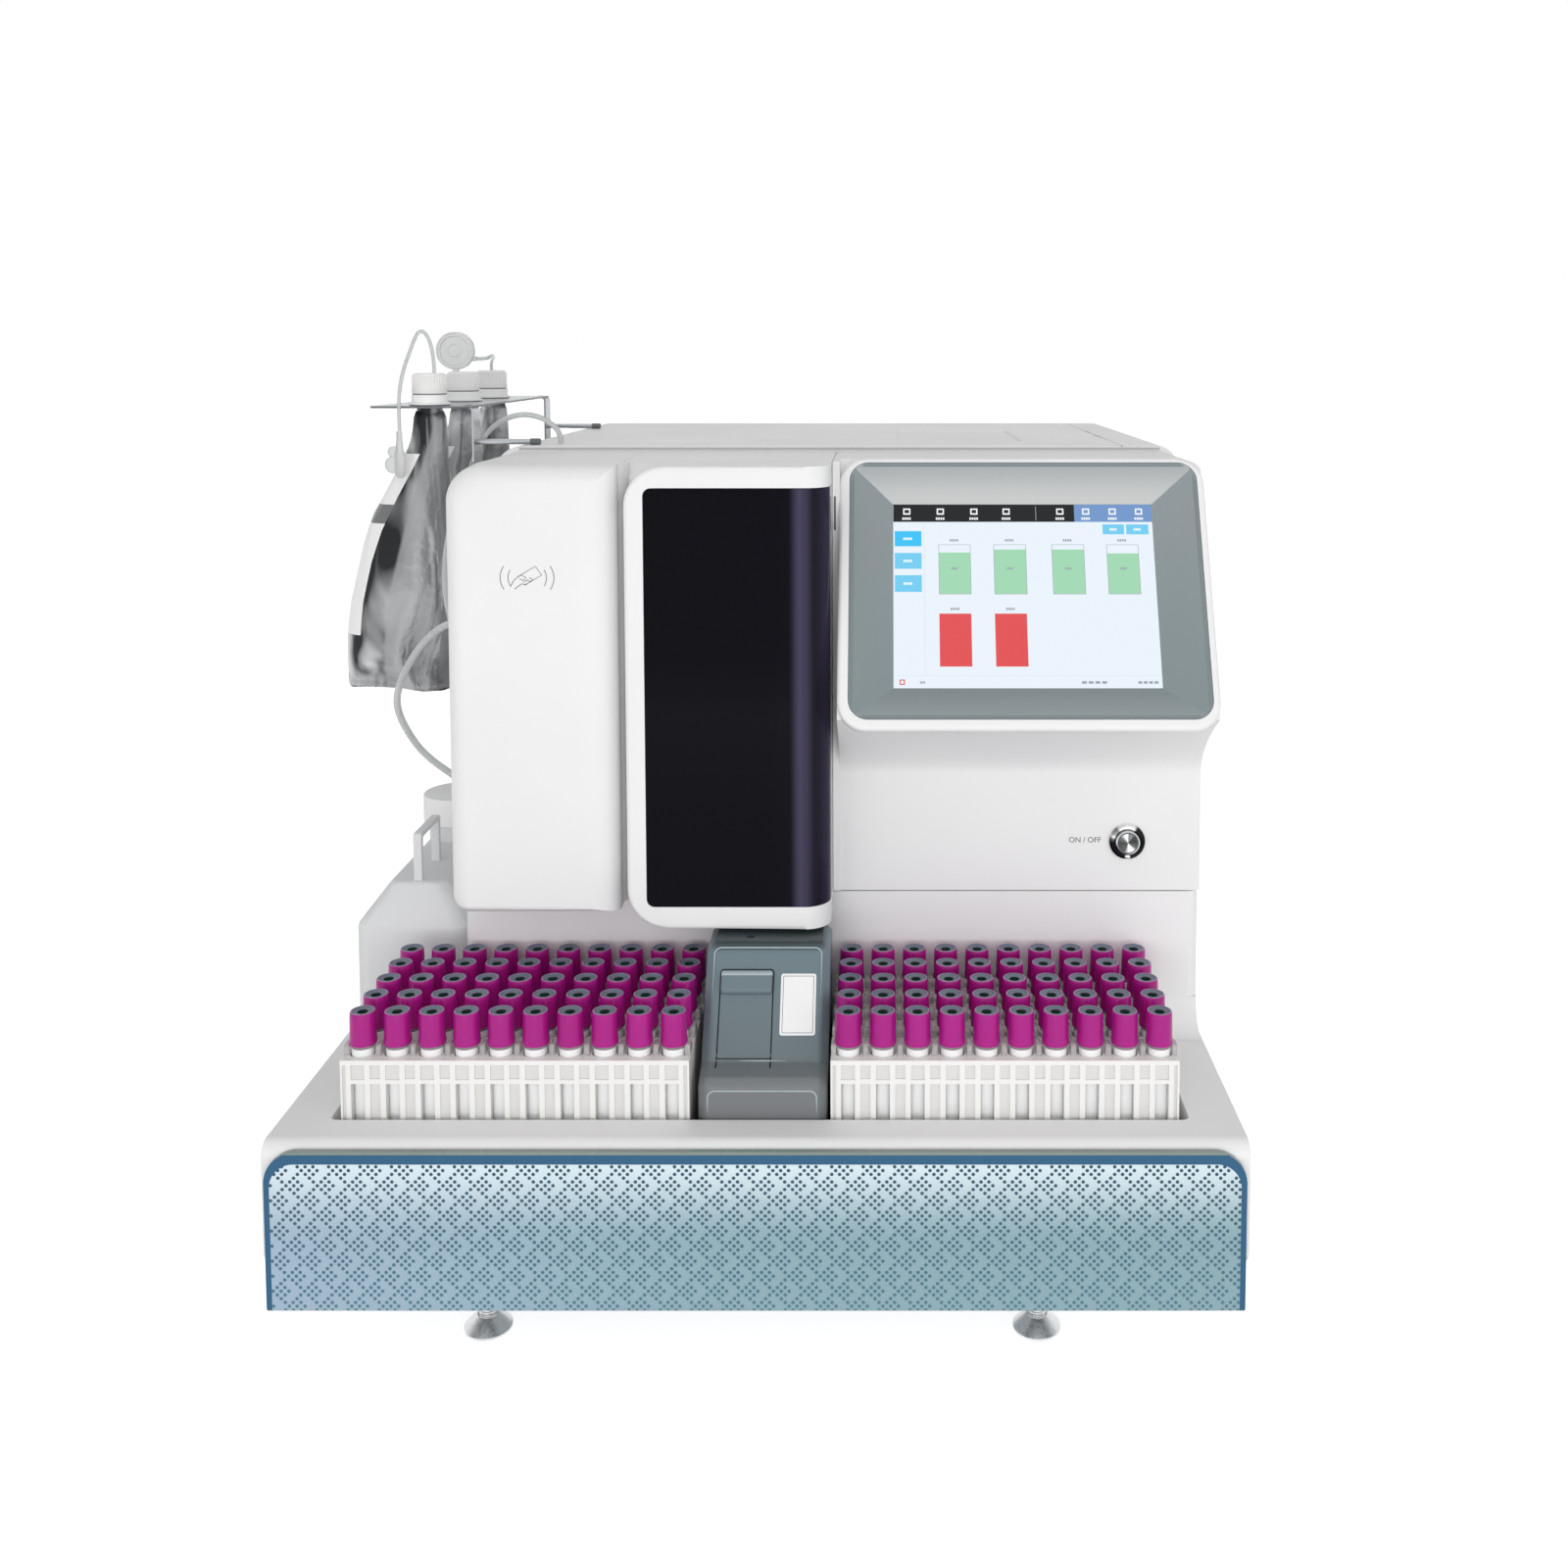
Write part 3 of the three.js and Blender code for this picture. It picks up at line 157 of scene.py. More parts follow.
def round_by_share(piece, radius, share_of, segments):
    """Rounds each edge by its own share of a radius, as a function of its middle gives it."""
    mesh = piece.data
    shares = mesh.attributes.new("bevel_weight_edge", "FLOAT", "EDGE")
    for edge, share in zip(mesh.edges, shares.data):
        first, second = (mesh.vertices[i].co for i in edge.vertices)
        share.value = share_of((first + second) / 2 / MM - SHIFT)
    return modify(piece, "BEVEL", width=radius * MM, segments=segments, limit_method="WEIGHT",
                  use_clamp_overlap=False)


def soften(piece, radius, segments=2, angle=35):
    """Rounds every sharp edge of a piece a little."""
    return modify(piece, "BEVEL", width=radius * MM, segments=segments, limit_method="ANGLE",
                  angle_limit=math.radians(angle), miter_outer="MITER_ARC")


def tidy(piece, angle=35):
    """Merges doubles, turns faces outwards and smooths shallow edges."""
    edit(piece, "VERT")
    bpy.ops.mesh.remove_doubles(threshold=0.01 * MM)
    bpy.ops.mesh.normals_make_consistent(inside=False)
    object_mode()
    bpy.ops.object.shade_smooth_by_angle(angle=math.radians(angle))
    return piece


def combine(piece, operation, *tools):
    for tool in tools:
        modify(piece, "BOOLEAN", object=tool, operation=operation, solver="EXACT")
        bpy.data.objects.remove(tool)
    return piece


def carve(piece, *tools):
    return combine(piece, "DIFFERENCE", *tools)


def weld(piece, *others):
    return combine(piece, "UNION", *others)


def joined(name, pieces):
    only(*pieces)
    bpy.ops.object.join()
    return called(pieces[0], name)


def copied(piece, name, step=(0, 0, 0)):
    """A copy with its own mesh, moved by a step in millimetres."""
    twin = called(added(name, piece.data.copy()), name)
    twin.data.transform(Matrix.Translation(Vector(step) * MM))
    return twin


def placed(piece, place, turn=Matrix()):
    """Turns a piece about the frame's zero and moves that zero to a place."""
    piece.data.transform(Matrix.Translation(spot(*place)) @ turn)
    return piece


def leaned(piece, origin, angle):
    """Turns a piece modelled in a face's own axes, X, up and out, onto a face that leans by an angle."""
    raised = Matrix.Rotation(math.pi / 2 - angle, 4, "X")
    return placed(piece, origin, raised @ Matrix.Translation(-spot(0, 0, 0)))


# Starting shapes
def block(name, x, y, z):
    """A box between three ranges."""
    only()
    bpy.ops.mesh.primitive_cube_add(size=1, location=spot(*(sum(r) / 2 for r in (x, y, z))),
                                    scale=[(r[1] - r[0]) * MM for r in (x, y, z)])
    return named(name)


def rounded(name, x, y, z, radius, axis, segments=6, where=None):
    """A box whose edges along an axis are rounded, all of them or those whose middle passes a test."""
    return round_edges(block(name, x, y, z), radius, along(axis, where), segments)


def pull(step):
    """Extrudes what is selected in edit mode by a step in millimetres."""
    bpy.ops.mesh.extrude_region_move(TRANSFORM_OT_translate={"value": Vector(step) * MM})


def prism(name, outline, step):
    """A solid pulled from an outline that is drawn point by point."""
    only()
    bpy.ops.mesh.primitive_plane_add(size=MM, location=spot(*outline[0]))
    piece = named(name)
    edit(piece, "VERT")
    bpy.ops.mesh.merge(type="CENTER")
    for here, there in zip(outline, outline[1:]):
        pull(Vector(there) - Vector(here))
    bpy.ops.mesh.select_all(action="SELECT")
    bpy.ops.mesh.edge_face_add()
    pull(step)
    return tidy(piece)


def stacked(name, ovals, sides):
    """A closed skin through level ovals: each is a height, a shift along X and two half widths."""
    only()
    bpy.ops.mesh.primitive_circle_add(vertices=sides, radius=MM, fill_type="NGON")
    piece = named(name)
    height, shift, wide, deep = ovals[0]
    start = Matrix.Translation(Vector((shift, 0, height)) * MM)
    piece.data.transform(start @ Matrix.Diagonal((wide, deep, 1, 1)))
    edit(piece, "FACE")
    for oval in ovals[1:]:
        pull((oval[1] - shift, 0, oval[0] - height))
        bpy.ops.transform.resize(value=(oval[2] / wide, oval[3] / deep, 1),
                                 center_override=Vector((oval[1], 0, oval[0])) * MM)
        height, shift, wide, deep = oval
    object_mode()
    return piece


def turned(name, profile, place, sides=32, axis="Z"):
    """A turned solid: each profile step is a radius and a height above the place, along the axis."""
    piece = stacked(name, [(height, 0, radius, radius) for radius, height in profile], sides)
    angle, about = {"Z": (0, "Z"), "Y": (90, "X"), "X": (90, "Y")}[axis]
    return tidy(placed(piece, place, Matrix.Rotation(math.radians(angle), 4, about)))


def arc(middle, radius, start, end, steps=6):
    """Points on an arc in degrees, as pairs."""
    angles = [math.radians(start + (end - start) * i / steps) for i in range(steps + 1)]
    return [(middle[0] + radius * math.cos(a), middle[1] + radius * math.sin(a)) for a in angles]


def arch(left, right, foot, top, radius):
    """A line up one side, over two round corners and down the other, as pairs."""
    return [(left, foot), *arc((left + radius, top - radius), radius, 180, 90),
            *arc((right - radius, top - radius), radius, 90, 0), (right, foot)]


def wire(name, points, diameter, ends=1.0):
    """A round bar along points, whose two ends have a share of its diameter."""
    curve = bpy.data.curves.new(name, "CURVE")
    curve.dimensions = "3D"
    curve.bevel_depth = diameter * MM / 2
    curve.bevel_resolution = 3
    curve.use_fill_caps = True
    curve.resolution_u = 8
    line = curve.splines.new("POLY")
    line.points.add(len(points) - 1)
    for point, place in zip(line.points, points):
        point.co = (*spot(*place), 1)
    line.points[0].radius = line.points[-1].radius = ends
    return added(name, curve)


def rod(name, points, diameter, material, ends=1.0):
    """A wire made a mesh, in one material."""
    only(wire(name, points, diameter, ends))
    bpy.ops.object.convert(target="MESH")
    return painted(tidy(bpy.context.object), material)


# Materials
def linear(hex_colour):
    """An sRGB hex colour in linear light."""
    parts = [int(hex_colour[i:i + 2], 16) / 255 for i in (1, 3, 5)]
    return (*(p / 12.92 if p <= 0.04045 else ((p + 0.055) / 1.055) ** 2.4 for p in parts), 1)


def plug(value, socket):
    """Gives an input a value, or links it to a socket or to a node's first shown output."""
    if isinstance(value, bpy.types.Node):
        value = next(output for output in value.outputs if output.enabled)
    if isinstance(value, bpy.types.NodeSocket):
        socket.id_data.links.new(value, socket)
    else:
        socket.default_value = value


def node(tree, kind, *inputs, **settings):
    """Adds a node with its settings and fills its shown inputs in order; None leaves one as it is."""
    made = tree.nodes.new("ShaderNode" + kind)
    for key, value in settings.items():
        setattr(made, key, value)
    for value, socket in zip(inputs, [socket for socket in made.inputs if socket.enabled]):
        if value is not None:
            plug(value, socket)
    return made


def finish_of(name, colour, roughness, **sockets):
    """A named material with its Principled shader's own values."""
    material = bpy.data.materials.new(name)
    material.use_nodes = True
    shader = material.node_tree.nodes["Principled BSDF"]
    for key, value in {"Base Color": linear(colour), "Roughness": roughness, **sockets}.items():
        shader.inputs[key.replace("_", " ")].default_value = value
    return material, material.node_tree, shader


def grain(tree, shader, size, depth, detail=3.0):
    """A fine bump whose grains have a size and a depth in millimetres; gives the Object coordinates."""
    where = node(tree, "TexCoord").outputs["Object"]
    noise = node(tree, "TexNoise", where, 1 / (size * MM), detail)
    plug(node(tree, "Bump", 0.6, depth * MM, None, noise), shader.inputs["Normal"])
    return where


def mottle(tree, shader, where, size, low, high):
    """Roughness that varies slowly between two limits, over patches of a size in millimetres."""
    noise = node(tree, "TexNoise", where, 1 / (size * MM), 2.0)
    plug(node(tree, "MapRange", noise, 0.3, 0.7, low, high), shader.inputs["Roughness"])


def graded(tree, value, stops, interpolation="LINEAR"):
    """A colour that follows a value through stops, each a value and a hex colour or a linear one."""
    low, high = stops[0][0], stops[-1][0]
    ramp = node(tree, "ValToRGB", node(tree, "MapRange", value, low, high))
    ramp.color_ramp.interpolation = interpolation
    tones = ramp.color_ramp.elements
    colours = [linear(colour) if isinstance(colour, str) else colour for _, colour in stops]
    tones[0].color, tones[1].color = colours[0], colours[-1]
    for (place, _), colour in zip(stops[1:-1], colours[1:-1]):
        tones.new((place - low) / (high - low)).color = colour
    return ramp


def moulded(name, colour, shade, roughness=0.42, size=0.7, depth=0.02, **sockets):
    """Injection-moulded plastic with a fine spark texture and a slight cloudiness."""
    material, tree, shader = finish_of(name, colour, roughness, Coat_Roughness=0.15, IOR=1.53, **sockets)
    where = grain(tree, shader, size, depth)
    mottle(tree, shader, where, 60, roughness - 0.05, roughness + 0.06)
    cloud = node(tree, "TexNoise", where, 1 / (90 * MM), 2.0)
    tone = node(tree, "Mix", cloud, linear(colour), linear(shade), data_type="RGBA")
    plug(tone, shader.inputs["Base Color"])
    return material


def metal(name, colour, roughness, stretch=(1, 1, 1), size=0.5, depth=0.01):
    """A bare metal, brushed along the axis whose stretch is small."""
    material, tree, shader = finish_of(name, colour, roughness, Metallic=1.0)
    where = node(tree, "Mapping", node(tree, "TexCoord").outputs["Object"], None, None, stretch)
    noise = node(tree, "TexNoise", where, 1 / (size * MM), 3.0)
    plug(node(tree, "Bump", 0.5, depth * MM, None, noise), shader.inputs["Normal"])
    mottle(tree, shader, where, size * 3, roughness - 0.05, roughness + 0.08)
    return material


def clear_plastic(name, colour, roughness, transmission=0.9):
    """Clear or milky plastic with a slightly wavy surface."""
    material, tree, shader = finish_of(name, colour, roughness, Transmission_Weight=transmission, IOR=1.45)
    grain(tree, shader, 0.8, 0.01)
    return material


def painted(piece, material, *rules):
    """Gives a piece its material; a rule gives another to faces whose middle and normal pass its test."""
    piece.data.materials.clear()
    for choice in (*(other for other, _ in rules), material):
        piece.data.materials.append(choice)
    if rules:
        for face in piece.data.polygons:
            middle = face.center / MM - SHIFT
            passed = (index for index, (_, test) in enumerate(rules) if test(middle, face.normal))
            face.material_index = next(passed, len(rules))
    return piece


def settled(piece, slot, *nodes, body="cabinet"):
    """Gives a finished piece its body, weighted normals if it is a cover or the tower, and hides the CAD nodes
    that it stands for.
    """
    if slot in ("cover_plastic", "tower_plastic"):
        modify(piece, "WEIGHTED_NORMAL", keep_sharp=True, weight=60)
    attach(piece, body)
    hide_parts(*nodes)
    return piece


# Camera at the photograph's viewing angle
CAMERA_PLACE, CAMERA_PITCH = (71.7, -851, 570), 4.0
CAMERA_LENS, CAMERA_SHIFT = 34.74, (-0.0644, -0.208)
lens = bpy.data.cameras.new("camera")
lens.lens = CAMERA_LENS
lens.sensor_width = 36
lens.shift_x, lens.shift_y = CAMERA_SHIFT
lens.clip_end = 50
camera = added("camera", lens)
camera.location = spot(*CAMERA_PLACE)
camera.rotation_euler = (math.radians(90 - CAMERA_PITCH), 0, 0)
bpy.context.scene.camera = camera
bpy.context.scene.view_settings.view_transform = "Standard"

# Free tubes, along the routes of the frame's own
PICKUP_ROUTE = [
    (-241.5, 202, 555.6), (-241.6, 202, 560), (-241.9, 201.6, 566), (-242.8, 201, 573), (-244.7, 199.6, 580),
    (-247.6, 198, 584), (-250.6, 196.3, 583), (-253.3, 194.6, 577), (-255.3, 192.6, 570), (-257.8, 188.4, 560),
    (-259.3, 185, 550), (-260.2, 183.2, 540), (-260.5, 183, 530), (-260.5, 183, 522), (-260.5, 183, 516.1),
]
FILTER_ROUTE = [
    (-233.6, 285.5, 565), (-231, 285.5, 565), (-228, 286.6, 565.3), (-226.4, 290.5, 566), (-226.6, 296, 566.8),
    (-227.6, 304, 567.3), (-230.4, 316, 567.2), (-232.8, 328, 566.6), (-236, 340, 565.4), (-239.4, 351, 564.2),
    (-242.2, 359.6, 562.6), (-244.1, 365.4, 560.8), (-244.9, 368.2, 558.4), (-245, 369, 555.7),
]
LINE_ROUTE = [
    (-159.6, 229, 505.4), (-160.4, 229, 510), (-163.2, 229.5, 515.4), (-168.3, 230, 519.8), (-175, 231, 523.2),
    (-183, 232.5, 525), (-191, 234, 524.9), (-199, 235.2, 522.8), (-206.5, 236, 519), (-212.8, 235.8, 513.6),
    (-217.2, 233.8, 507.4), (-219.6, 229.5, 501), (-220.4, 222, 494), (-220.9, 212, 486.5), (-221.3, 200, 478),
    (-221.7, 187, 468.5), (-222.2, 174, 458), (-222.6, 163, 446), (-222.9, 156, 432), (-222.6, 153, 416),
    (-221.5, 153, 402), (-219, 153, 390), (-214.8, 153, 380.5), (-209.4, 153, 374.6), (-205, 153, 372.8),
    (-201.5, 153, 372.6),
]
WASTE_ROUTE = [
    (-201.4, 143, 392), (-207, 143, 392), (-214, 143, 391.2), (-222, 143.8, 388), (-231, 146.5, 381.5),
    (-239.5, 151, 373), (-247.5, 157, 363), (-255, 163.5, 352), (-260.5, 169.5, 341), (-264, 176, 330.5),
    (-265.7, 184.5, 320.5), (-265.8, 195, 309.5), (-264.5, 206, 298), (-261.8, 217, 286.5), (-256.5, 227, 275.5),
    (-250, 235, 266.5), (-244.9, 240.4, 260), (-242.2, 242.6, 254.6), (-241.8, 243, 251.4), (-241.8, 243, 248.4),
]


def smooth_route(points, steps=4):
    """Points on a smooth curve through a route."""
    places = [Vector(p) for p in points]
    padded = [places[0] * 2 - places[1], *places, places[-1] * 2 - places[-2]]
    made = []
    for a, b, c, d in zip(padded, padded[1:], padded[2:], padded[3:]):
        for t in (k / steps for k in range(steps)):
            made.append((b * 2 + (c - a) * t + (a * 2 - b * 5 + c * 4 - d) * t * t
                         + (b * 3 - a - c * 3 + d) * t ** 3) / 2)
    return made + [places[-1]]


def length_of(points):
    return sum((Vector(b) - Vector(a)).length for a, b in zip(points, points[1:]))


# Soft clear PVC, and polypropylene that is milky in the thicker parts
clear_pvc = clear_plastic("clear PVC tube", "#DDE0E0", 0.2, 0.4)
polypropylene = clear_plastic("translucent polypropylene", "#E4E5E5", 0.35, 0.55)
VENT_RADIUS, VENT_THICKNESS = 14.0, 7.0


def make_vent_filter():
    """A flat disc with a raised rim and hub on both faces, a stem below and a port at its side."""
    (low_x, _), y, (foot, top) = span("vent_filter")
    x, y, z = low_x + VENT_RADIUS, sum(y) / 2, top - VENT_RADIUS
    half, rim = VENT_THICKNESS / 2, VENT_RADIUS
    disc = turned("disc_filter", [
        (rim - 1, -half), (rim, 0.8 - half), (rim, half - 0.8), (rim - 1, half), (rim - 3, half),
        (rim - 3.5, half - 0.9), (5, half - 0.9), (4.2, half), (2.2, half)], (x, y, z), 48, "Y")
    port = turned("port", [(2.6, 0), (2.6, 6), (2.1, 8), (1.6, 15.9)], (x + 0.1, y, z - 6), 20, "X")
    stem = turned("stem", [(2.4, 0), (2.4, z - foot - 6)], (x, y, foot), 20)
    return painted(tidy(weld(disc, port, stem)), polypropylene)


def make_inline_filter():
    """A stub over a winged body."""
    (x0, x1), y, (low, high) = span("inline_filter")
    x, y = x1 - 3.6, sum(y) / 2
    body = turned("winged_filter", [(1.6, 0), (3.0, 1.5), (3.5, 5), (3.5, 16), (2.6, 20)], (x, y, low), 24)
    stub = turned("stub", [(2.4, 10), (2.4, 24), (2.0, 26), (2.0, high - low)], (x, y, low), 20)
    wings = [turned("wing", [(size - 0.6, -1.6), (size, -1), (size, 1), (size - 0.6, 1.6)],
                    (x - reach, y, low + rise), 28, "Y")
             for reach, rise, size in ((x - x0 - 6.2, 9, 6.0), (4.2, 18, 3.8))]
    return painted(tidy(weld(body, stub, *wings)), polypropylene)


disc_filter = settled(make_vent_filter(), "filter_plastic", "vent_filter")
winged_filter = settled(make_inline_filter(), "filter_plastic", "inline_filter")
for cord_name, route, diameter, goes_with, far_end in (
        ("pickup_tube", PICKUP_ROUTE, 2.6, [winged_filter], "fitting"),
        ("filter_tube", FILTER_ROUTE, 2.6, [disc_filter], "object"),
        ("line_tube", LINE_ROUTE, 4.0, [], "object"), ("waste_tube", WASTE_ROUTE, 5.0, [], "object")):
    path = smooth_route(route)
    hose = settled(painted(wire(f"clear_{cord_name}", path, diameter), clear_pvc), "clear_tube", cord_name)
    length_of(path) * MM
    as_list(goes_with)

# Moulded ABS and polypropylene: a broad soft highlight over a grain that only shows close up
white_abs = moulded("satin white ABS", "#F2F2F2", "#EDEDEE", 0.45)
# Painted highlight: light blue-grey for the tower's rounded edges and the top of the flap's roll
highlight_grey = moulded("blue-grey ABS with a painted highlight on a rounded edge", "#B4C1C6", "#ACB9BE", 0.3)
# Painted highlight along the bezel's mitres
mitre_highlight = moulded("satin bezel with a painted highlight along its mitre", "#D5D8D8", "#C9CDCD", 0.3)
rack_white = moulded("white polypropylene of the racks", "#F3F2F0", "#EFEEEB", 0.38, 0.5, 0.01)
# Painted shade inside the racks' recesses and windows
rack_shade = moulded("white polypropylene with painted shade in a recess", "#E3E2E0", "#DCDBD9", 0.5, 0.5, 0.01)
cap_white = moulded("ribbed white polypropylene", "#F8F8F8", "#F2F2F2", 0.42)
# Painted shade between the ribs of the bag caps
cap_groove_shade = moulded("white polypropylene with painted shade between the ribs", "#ECECEA", "#E6E6E4", 0.5)

# Edges of the fascia: a lighter painted reflection on the top edge, and darker painted shade on the rounding
# below it
fascia_edge_shade = moulded("painted shade on the fascia's rounded edge", "#1A4456", "#163C4E", 0.3)
fascia_edge_reflection = moulded("painted reflection on the fascia's top edge", "#8E9B95", "#7C8A84", 0.25)

# Vinyl and rubber: darker, with a dull sheen; the stopper's magenta coat has a thin gloss. Four of these are
# painted light and shade, in whole or in part.
# Painted shade on the fascia's sides
fascia_side_shade = moulded("black painted shade on the fascia's sides", "#2B2C2E", "#333436", 0.4)
# Dark grey vinyl for the sleeves, also painted shade in grooves and slots
dark_vinyl_and_shade = moulded("dark grey vinyl sleeve and painted shade", "#6C6F72", "#5E6164", 0.4)
# Painted shade for the step under the lid's front edge
lid_step_shade = moulded("light grey painted shade on the lid's step", "#C4C4C4", "#BCBCBC", 0.6)
cap_magenta = moulded("magenta rubber-coated stopper", "#B61A8E", "#9C0F77", 0.36, 0.4, 0.008,
                      Coat_Weight=0.08, Specular_IOR_Level=0.25)
cap_grey = moulded("grey bromobutyl rubber", "#757A8C", "#666B7C", 0.5, 0.3)
# Painted highlight on the stopper's rim
cap_rim_highlight = moulded("painted highlight on the stopper's rim", "#A98FAF", "#9B80A3", 0.35, 0.3)
cap_hole = moulded("dark green rubber", "#1D3A31", "#183029", 0.5, 0.3)

# Print and paper: flat, with hardly any highlight
print_grey = moulded("grey screen printing", "#3A3B3D", "#5E6062", 0.5)
label_paper = moulded("white paper label", "#FAFAFA", "#F4F4F4", 0.6, 0.3, 0.006)

# Bare metals: mirrors where polished or turned, soft streaks where brushed, a dull grain where plated
chrome = metal("polished chrome", "#C9CCCE", 0.14, depth=0.002)
foot_metal = metal("turned bright steel", "#E6E7E8", 0.3, depth=0.002)
steel = metal("brushed stainless steel", "#B9BCBF", 0.3, (1, 0.05, 1), 0.3)
zinc = metal("zinc-plated steel", "#A9ADB0", 0.42, size=2.5)

# Clear plastics: glassy edges, with what stands behind them showing through
tube_glass = clear_plastic("clear PET tube", "#E6E2E6", 0.08, 0.7)
clear_tab = clear_plastic("clear polycarbonate tab", "#E9E7E6", 0.12, 0.6)

# Walls, gaps and how far a cutting tool reaches past what it cuts
WALL, GAP, PAST = 3.0, 0.3, 5.0

# Tray: a white shell with rounded front edges and the racks' sunk well
TRAY_FRONT, BODY_FRONT, BODY_BACK, COVER_BACK = -41.0, 106.0, 545.0, 200.0
TRAY_HALF, TRAY_RIM, TRAY_BOTTOM = 275.0, 132.0, 61.0
WELL_HALF, WELL_FRONT, WELL_FLOOR = 246.0, -14.0, 108.0
BODY_LEFT, BODY_RIGHT, SEAM, BODY_TOP, LID_TOP = -201.0, 275.0, 222.0, 501.0, 505.0


def make_tray():
    tray = rounded("rack_tray", (-TRAY_HALF, TRAY_HALF), (TRAY_FRONT, BODY_FRONT - GAP),
                   (TRAY_BOTTOM, TRAY_RIM), 9, "x", 10, lambda m: m.y < TRAY_FRONT + 1)
    round_edges(tray, 1.2, lambda m, d: abs(m.x) > TRAY_HALF - 0.1 and (m.z > 110 or m.y < TRAY_FRONT + 10)
                and m.y < BODY_FRONT - 1 and m.z > TRAY_BOTTOM + 1, 3)
    well = rounded("well", (-WELL_HALF, WELL_HALF), (WELL_FRONT, BODY_FRONT + PAST),
                   (WELL_FLOOR, TRAY_RIM + PAST), 4, "z", 5, lambda m: m.y < 0)
    inside_back, side = BODY_FRONT - GAP - WALL, TRAY_HALF - WALL
    below = block("below", (-side, side), (TRAY_FRONT + 9, inside_back), (50, WELL_FLOOR - WALL))
    rims = [block("rim", x, (TRAY_FRONT + WALL, inside_back), (TRAY_BOTTOM + 9, TRAY_RIM - WALL))
            for x in ((-side, -WELL_HALF - WALL), (WELL_HALF + WALL, side))]
    return painted(soften(tidy(carve(tray, well, below, *rims)), 0.8, 2, 60), white_abs)


# Front panel: painted metal whose lower edge bends back
PANEL_HALF, PANEL_TOP, PANEL_LOW, PANEL_THICKNESS, PANEL_BEND = 272.0, 129.3, 36.8, 3.7, 3.3
PANEL_CORNER, PANEL_LIP = 18.0, 8.1
DOT_STEP, DOT_ORIGIN = 2.17, (-268.0, 0.0, 41.0)
DOT_ROWS = [(0, 4, 6), (3, 5, 7), (2, 6), (1, 3, 7), (0, 2, 4), (1, 3, 7), (2, 6), (3, 5, 7)]


def dot_pattern(tree, where):
    """The fascia's lattice of round dots: which of eight columns holds a dot in each of eight rows."""
    axes = node(tree, "SeparateXYZ", node(tree, "VectorMath", where, spot(*DOT_ORIGIN), operation="SUBTRACT"))
    cells, squares = [], []
    for axis in ("X", "Z"):
        scaled = node(tree, "Math", axes.outputs[axis], DOT_STEP * MM, operation="DIVIDE")
        cell = node(tree, "Math", scaled, operation="ROUND")
        cells.append(node(tree, "Math", cell, 8.0, operation="FLOORED_MODULO"))
        part = node(tree, "Math", scaled, cell, operation="SUBTRACT")
        squares.append(node(tree, "Math", part, part, operation="MULTIPLY"))
    round_dot = node(tree, "MapRange", node(tree, "Math", *squares, operation="ADD"), 0.17, 0.26, 1.0, 0.0)
    # The number whose binary digits say which columns of a row hold a dot
    code = 0.0
    for row, columns in enumerate(DOT_ROWS):
        hit = node(tree, "Math", cells[1], float(row), 0.5, operation="COMPARE")
        digits = float(sum(2 ** column for column in columns))
        code = node(tree, "Math", hit, digits, code, operation="MULTIPLY_ADD")
    power = node(tree, "Math", 2.0, cells[0], operation="POWER")
    whole = node(tree, "Math", node(tree, "Math", code, power, operation="DIVIDE"), operation="FLOOR")
    odd = node(tree, "Math", whole, 2.0, operation="FLOORED_MODULO")
    return node(tree, "Math", odd, round_dot, operation="MULTIPLY")


def fascia_paint():
    """Metallic paint that runs from lavender blue on the left to teal on the right, with darker dots."""
    material, tree, shader = finish_of("metallic blue fascia paint", "#97B4C4", 0.38, Metallic=0.2)
    where = node(tree, "TexCoord").outputs["Object"]
    x, _, z = node(tree, "SeparateXYZ", where).outputs
    sides = graded(tree, x, [(spot(place, 0, 0).x, colour) for place, colour in (
        (-PANEL_HALF, "#9FB5C8"), (-0.1 * PANEL_HALF, "#8BA8B3"), (PANEL_HALF, "#88A6AF"))])
    upward = node(tree, "MapRange", z, PANEL_LOW * MM, PANEL_TOP * MM)
    upper = node(tree, "MapRange", upward, 0.45, 1.0, 0.0, 0.85, interpolation_type="SMOOTHSTEP")
    lighter = node(tree, "Mix", upper, sides, linear("#E2F0F6"), data_type="RGBA")
    dot = node(tree, "Mix", upward, linear("#4E7A8A"), linear("#1F4055"), data_type="RGBA")
    dotted = node(tree, "Mix", dot_pattern(tree, where), lighter, dot, data_type="RGBA")
    # Distance from the rounded outline gives the navy border
    centred = node(tree, "Math", x, spot(0, 0, 0).x, operation="SUBTRACT")
    aside = node(tree, "Math", centred, operation="ABSOLUTE")
    past = []
    for place, limit in ((aside, PANEL_HALF - PANEL_CORNER + 1.2), (z, PANEL_TOP - PANEL_CORNER - 2.4)):
        over = node(tree, "Math", place, limit * MM, operation="SUBTRACT")
        past.append(node(tree, "Math", over, 0.0, operation="MAXIMUM"))
    reach = node(tree, "VectorMath", node(tree, "CombineXYZ", *past), operation="LENGTH")
    top = node(tree, "Math", reach, (PANEL_CORNER - 4.4) * MM, operation="GREATER_THAN")
    foot = node(tree, "Math", z, (PANEL_LOW + 1.0) * MM, operation="LESS_THAN")
    border = node(tree, "Math", top, foot, operation="MAXIMUM")
    plug(node(tree, "Mix", border, dotted, linear("#22587C"), data_type="RGBA"), shader.inputs["Base Color"])
    return material


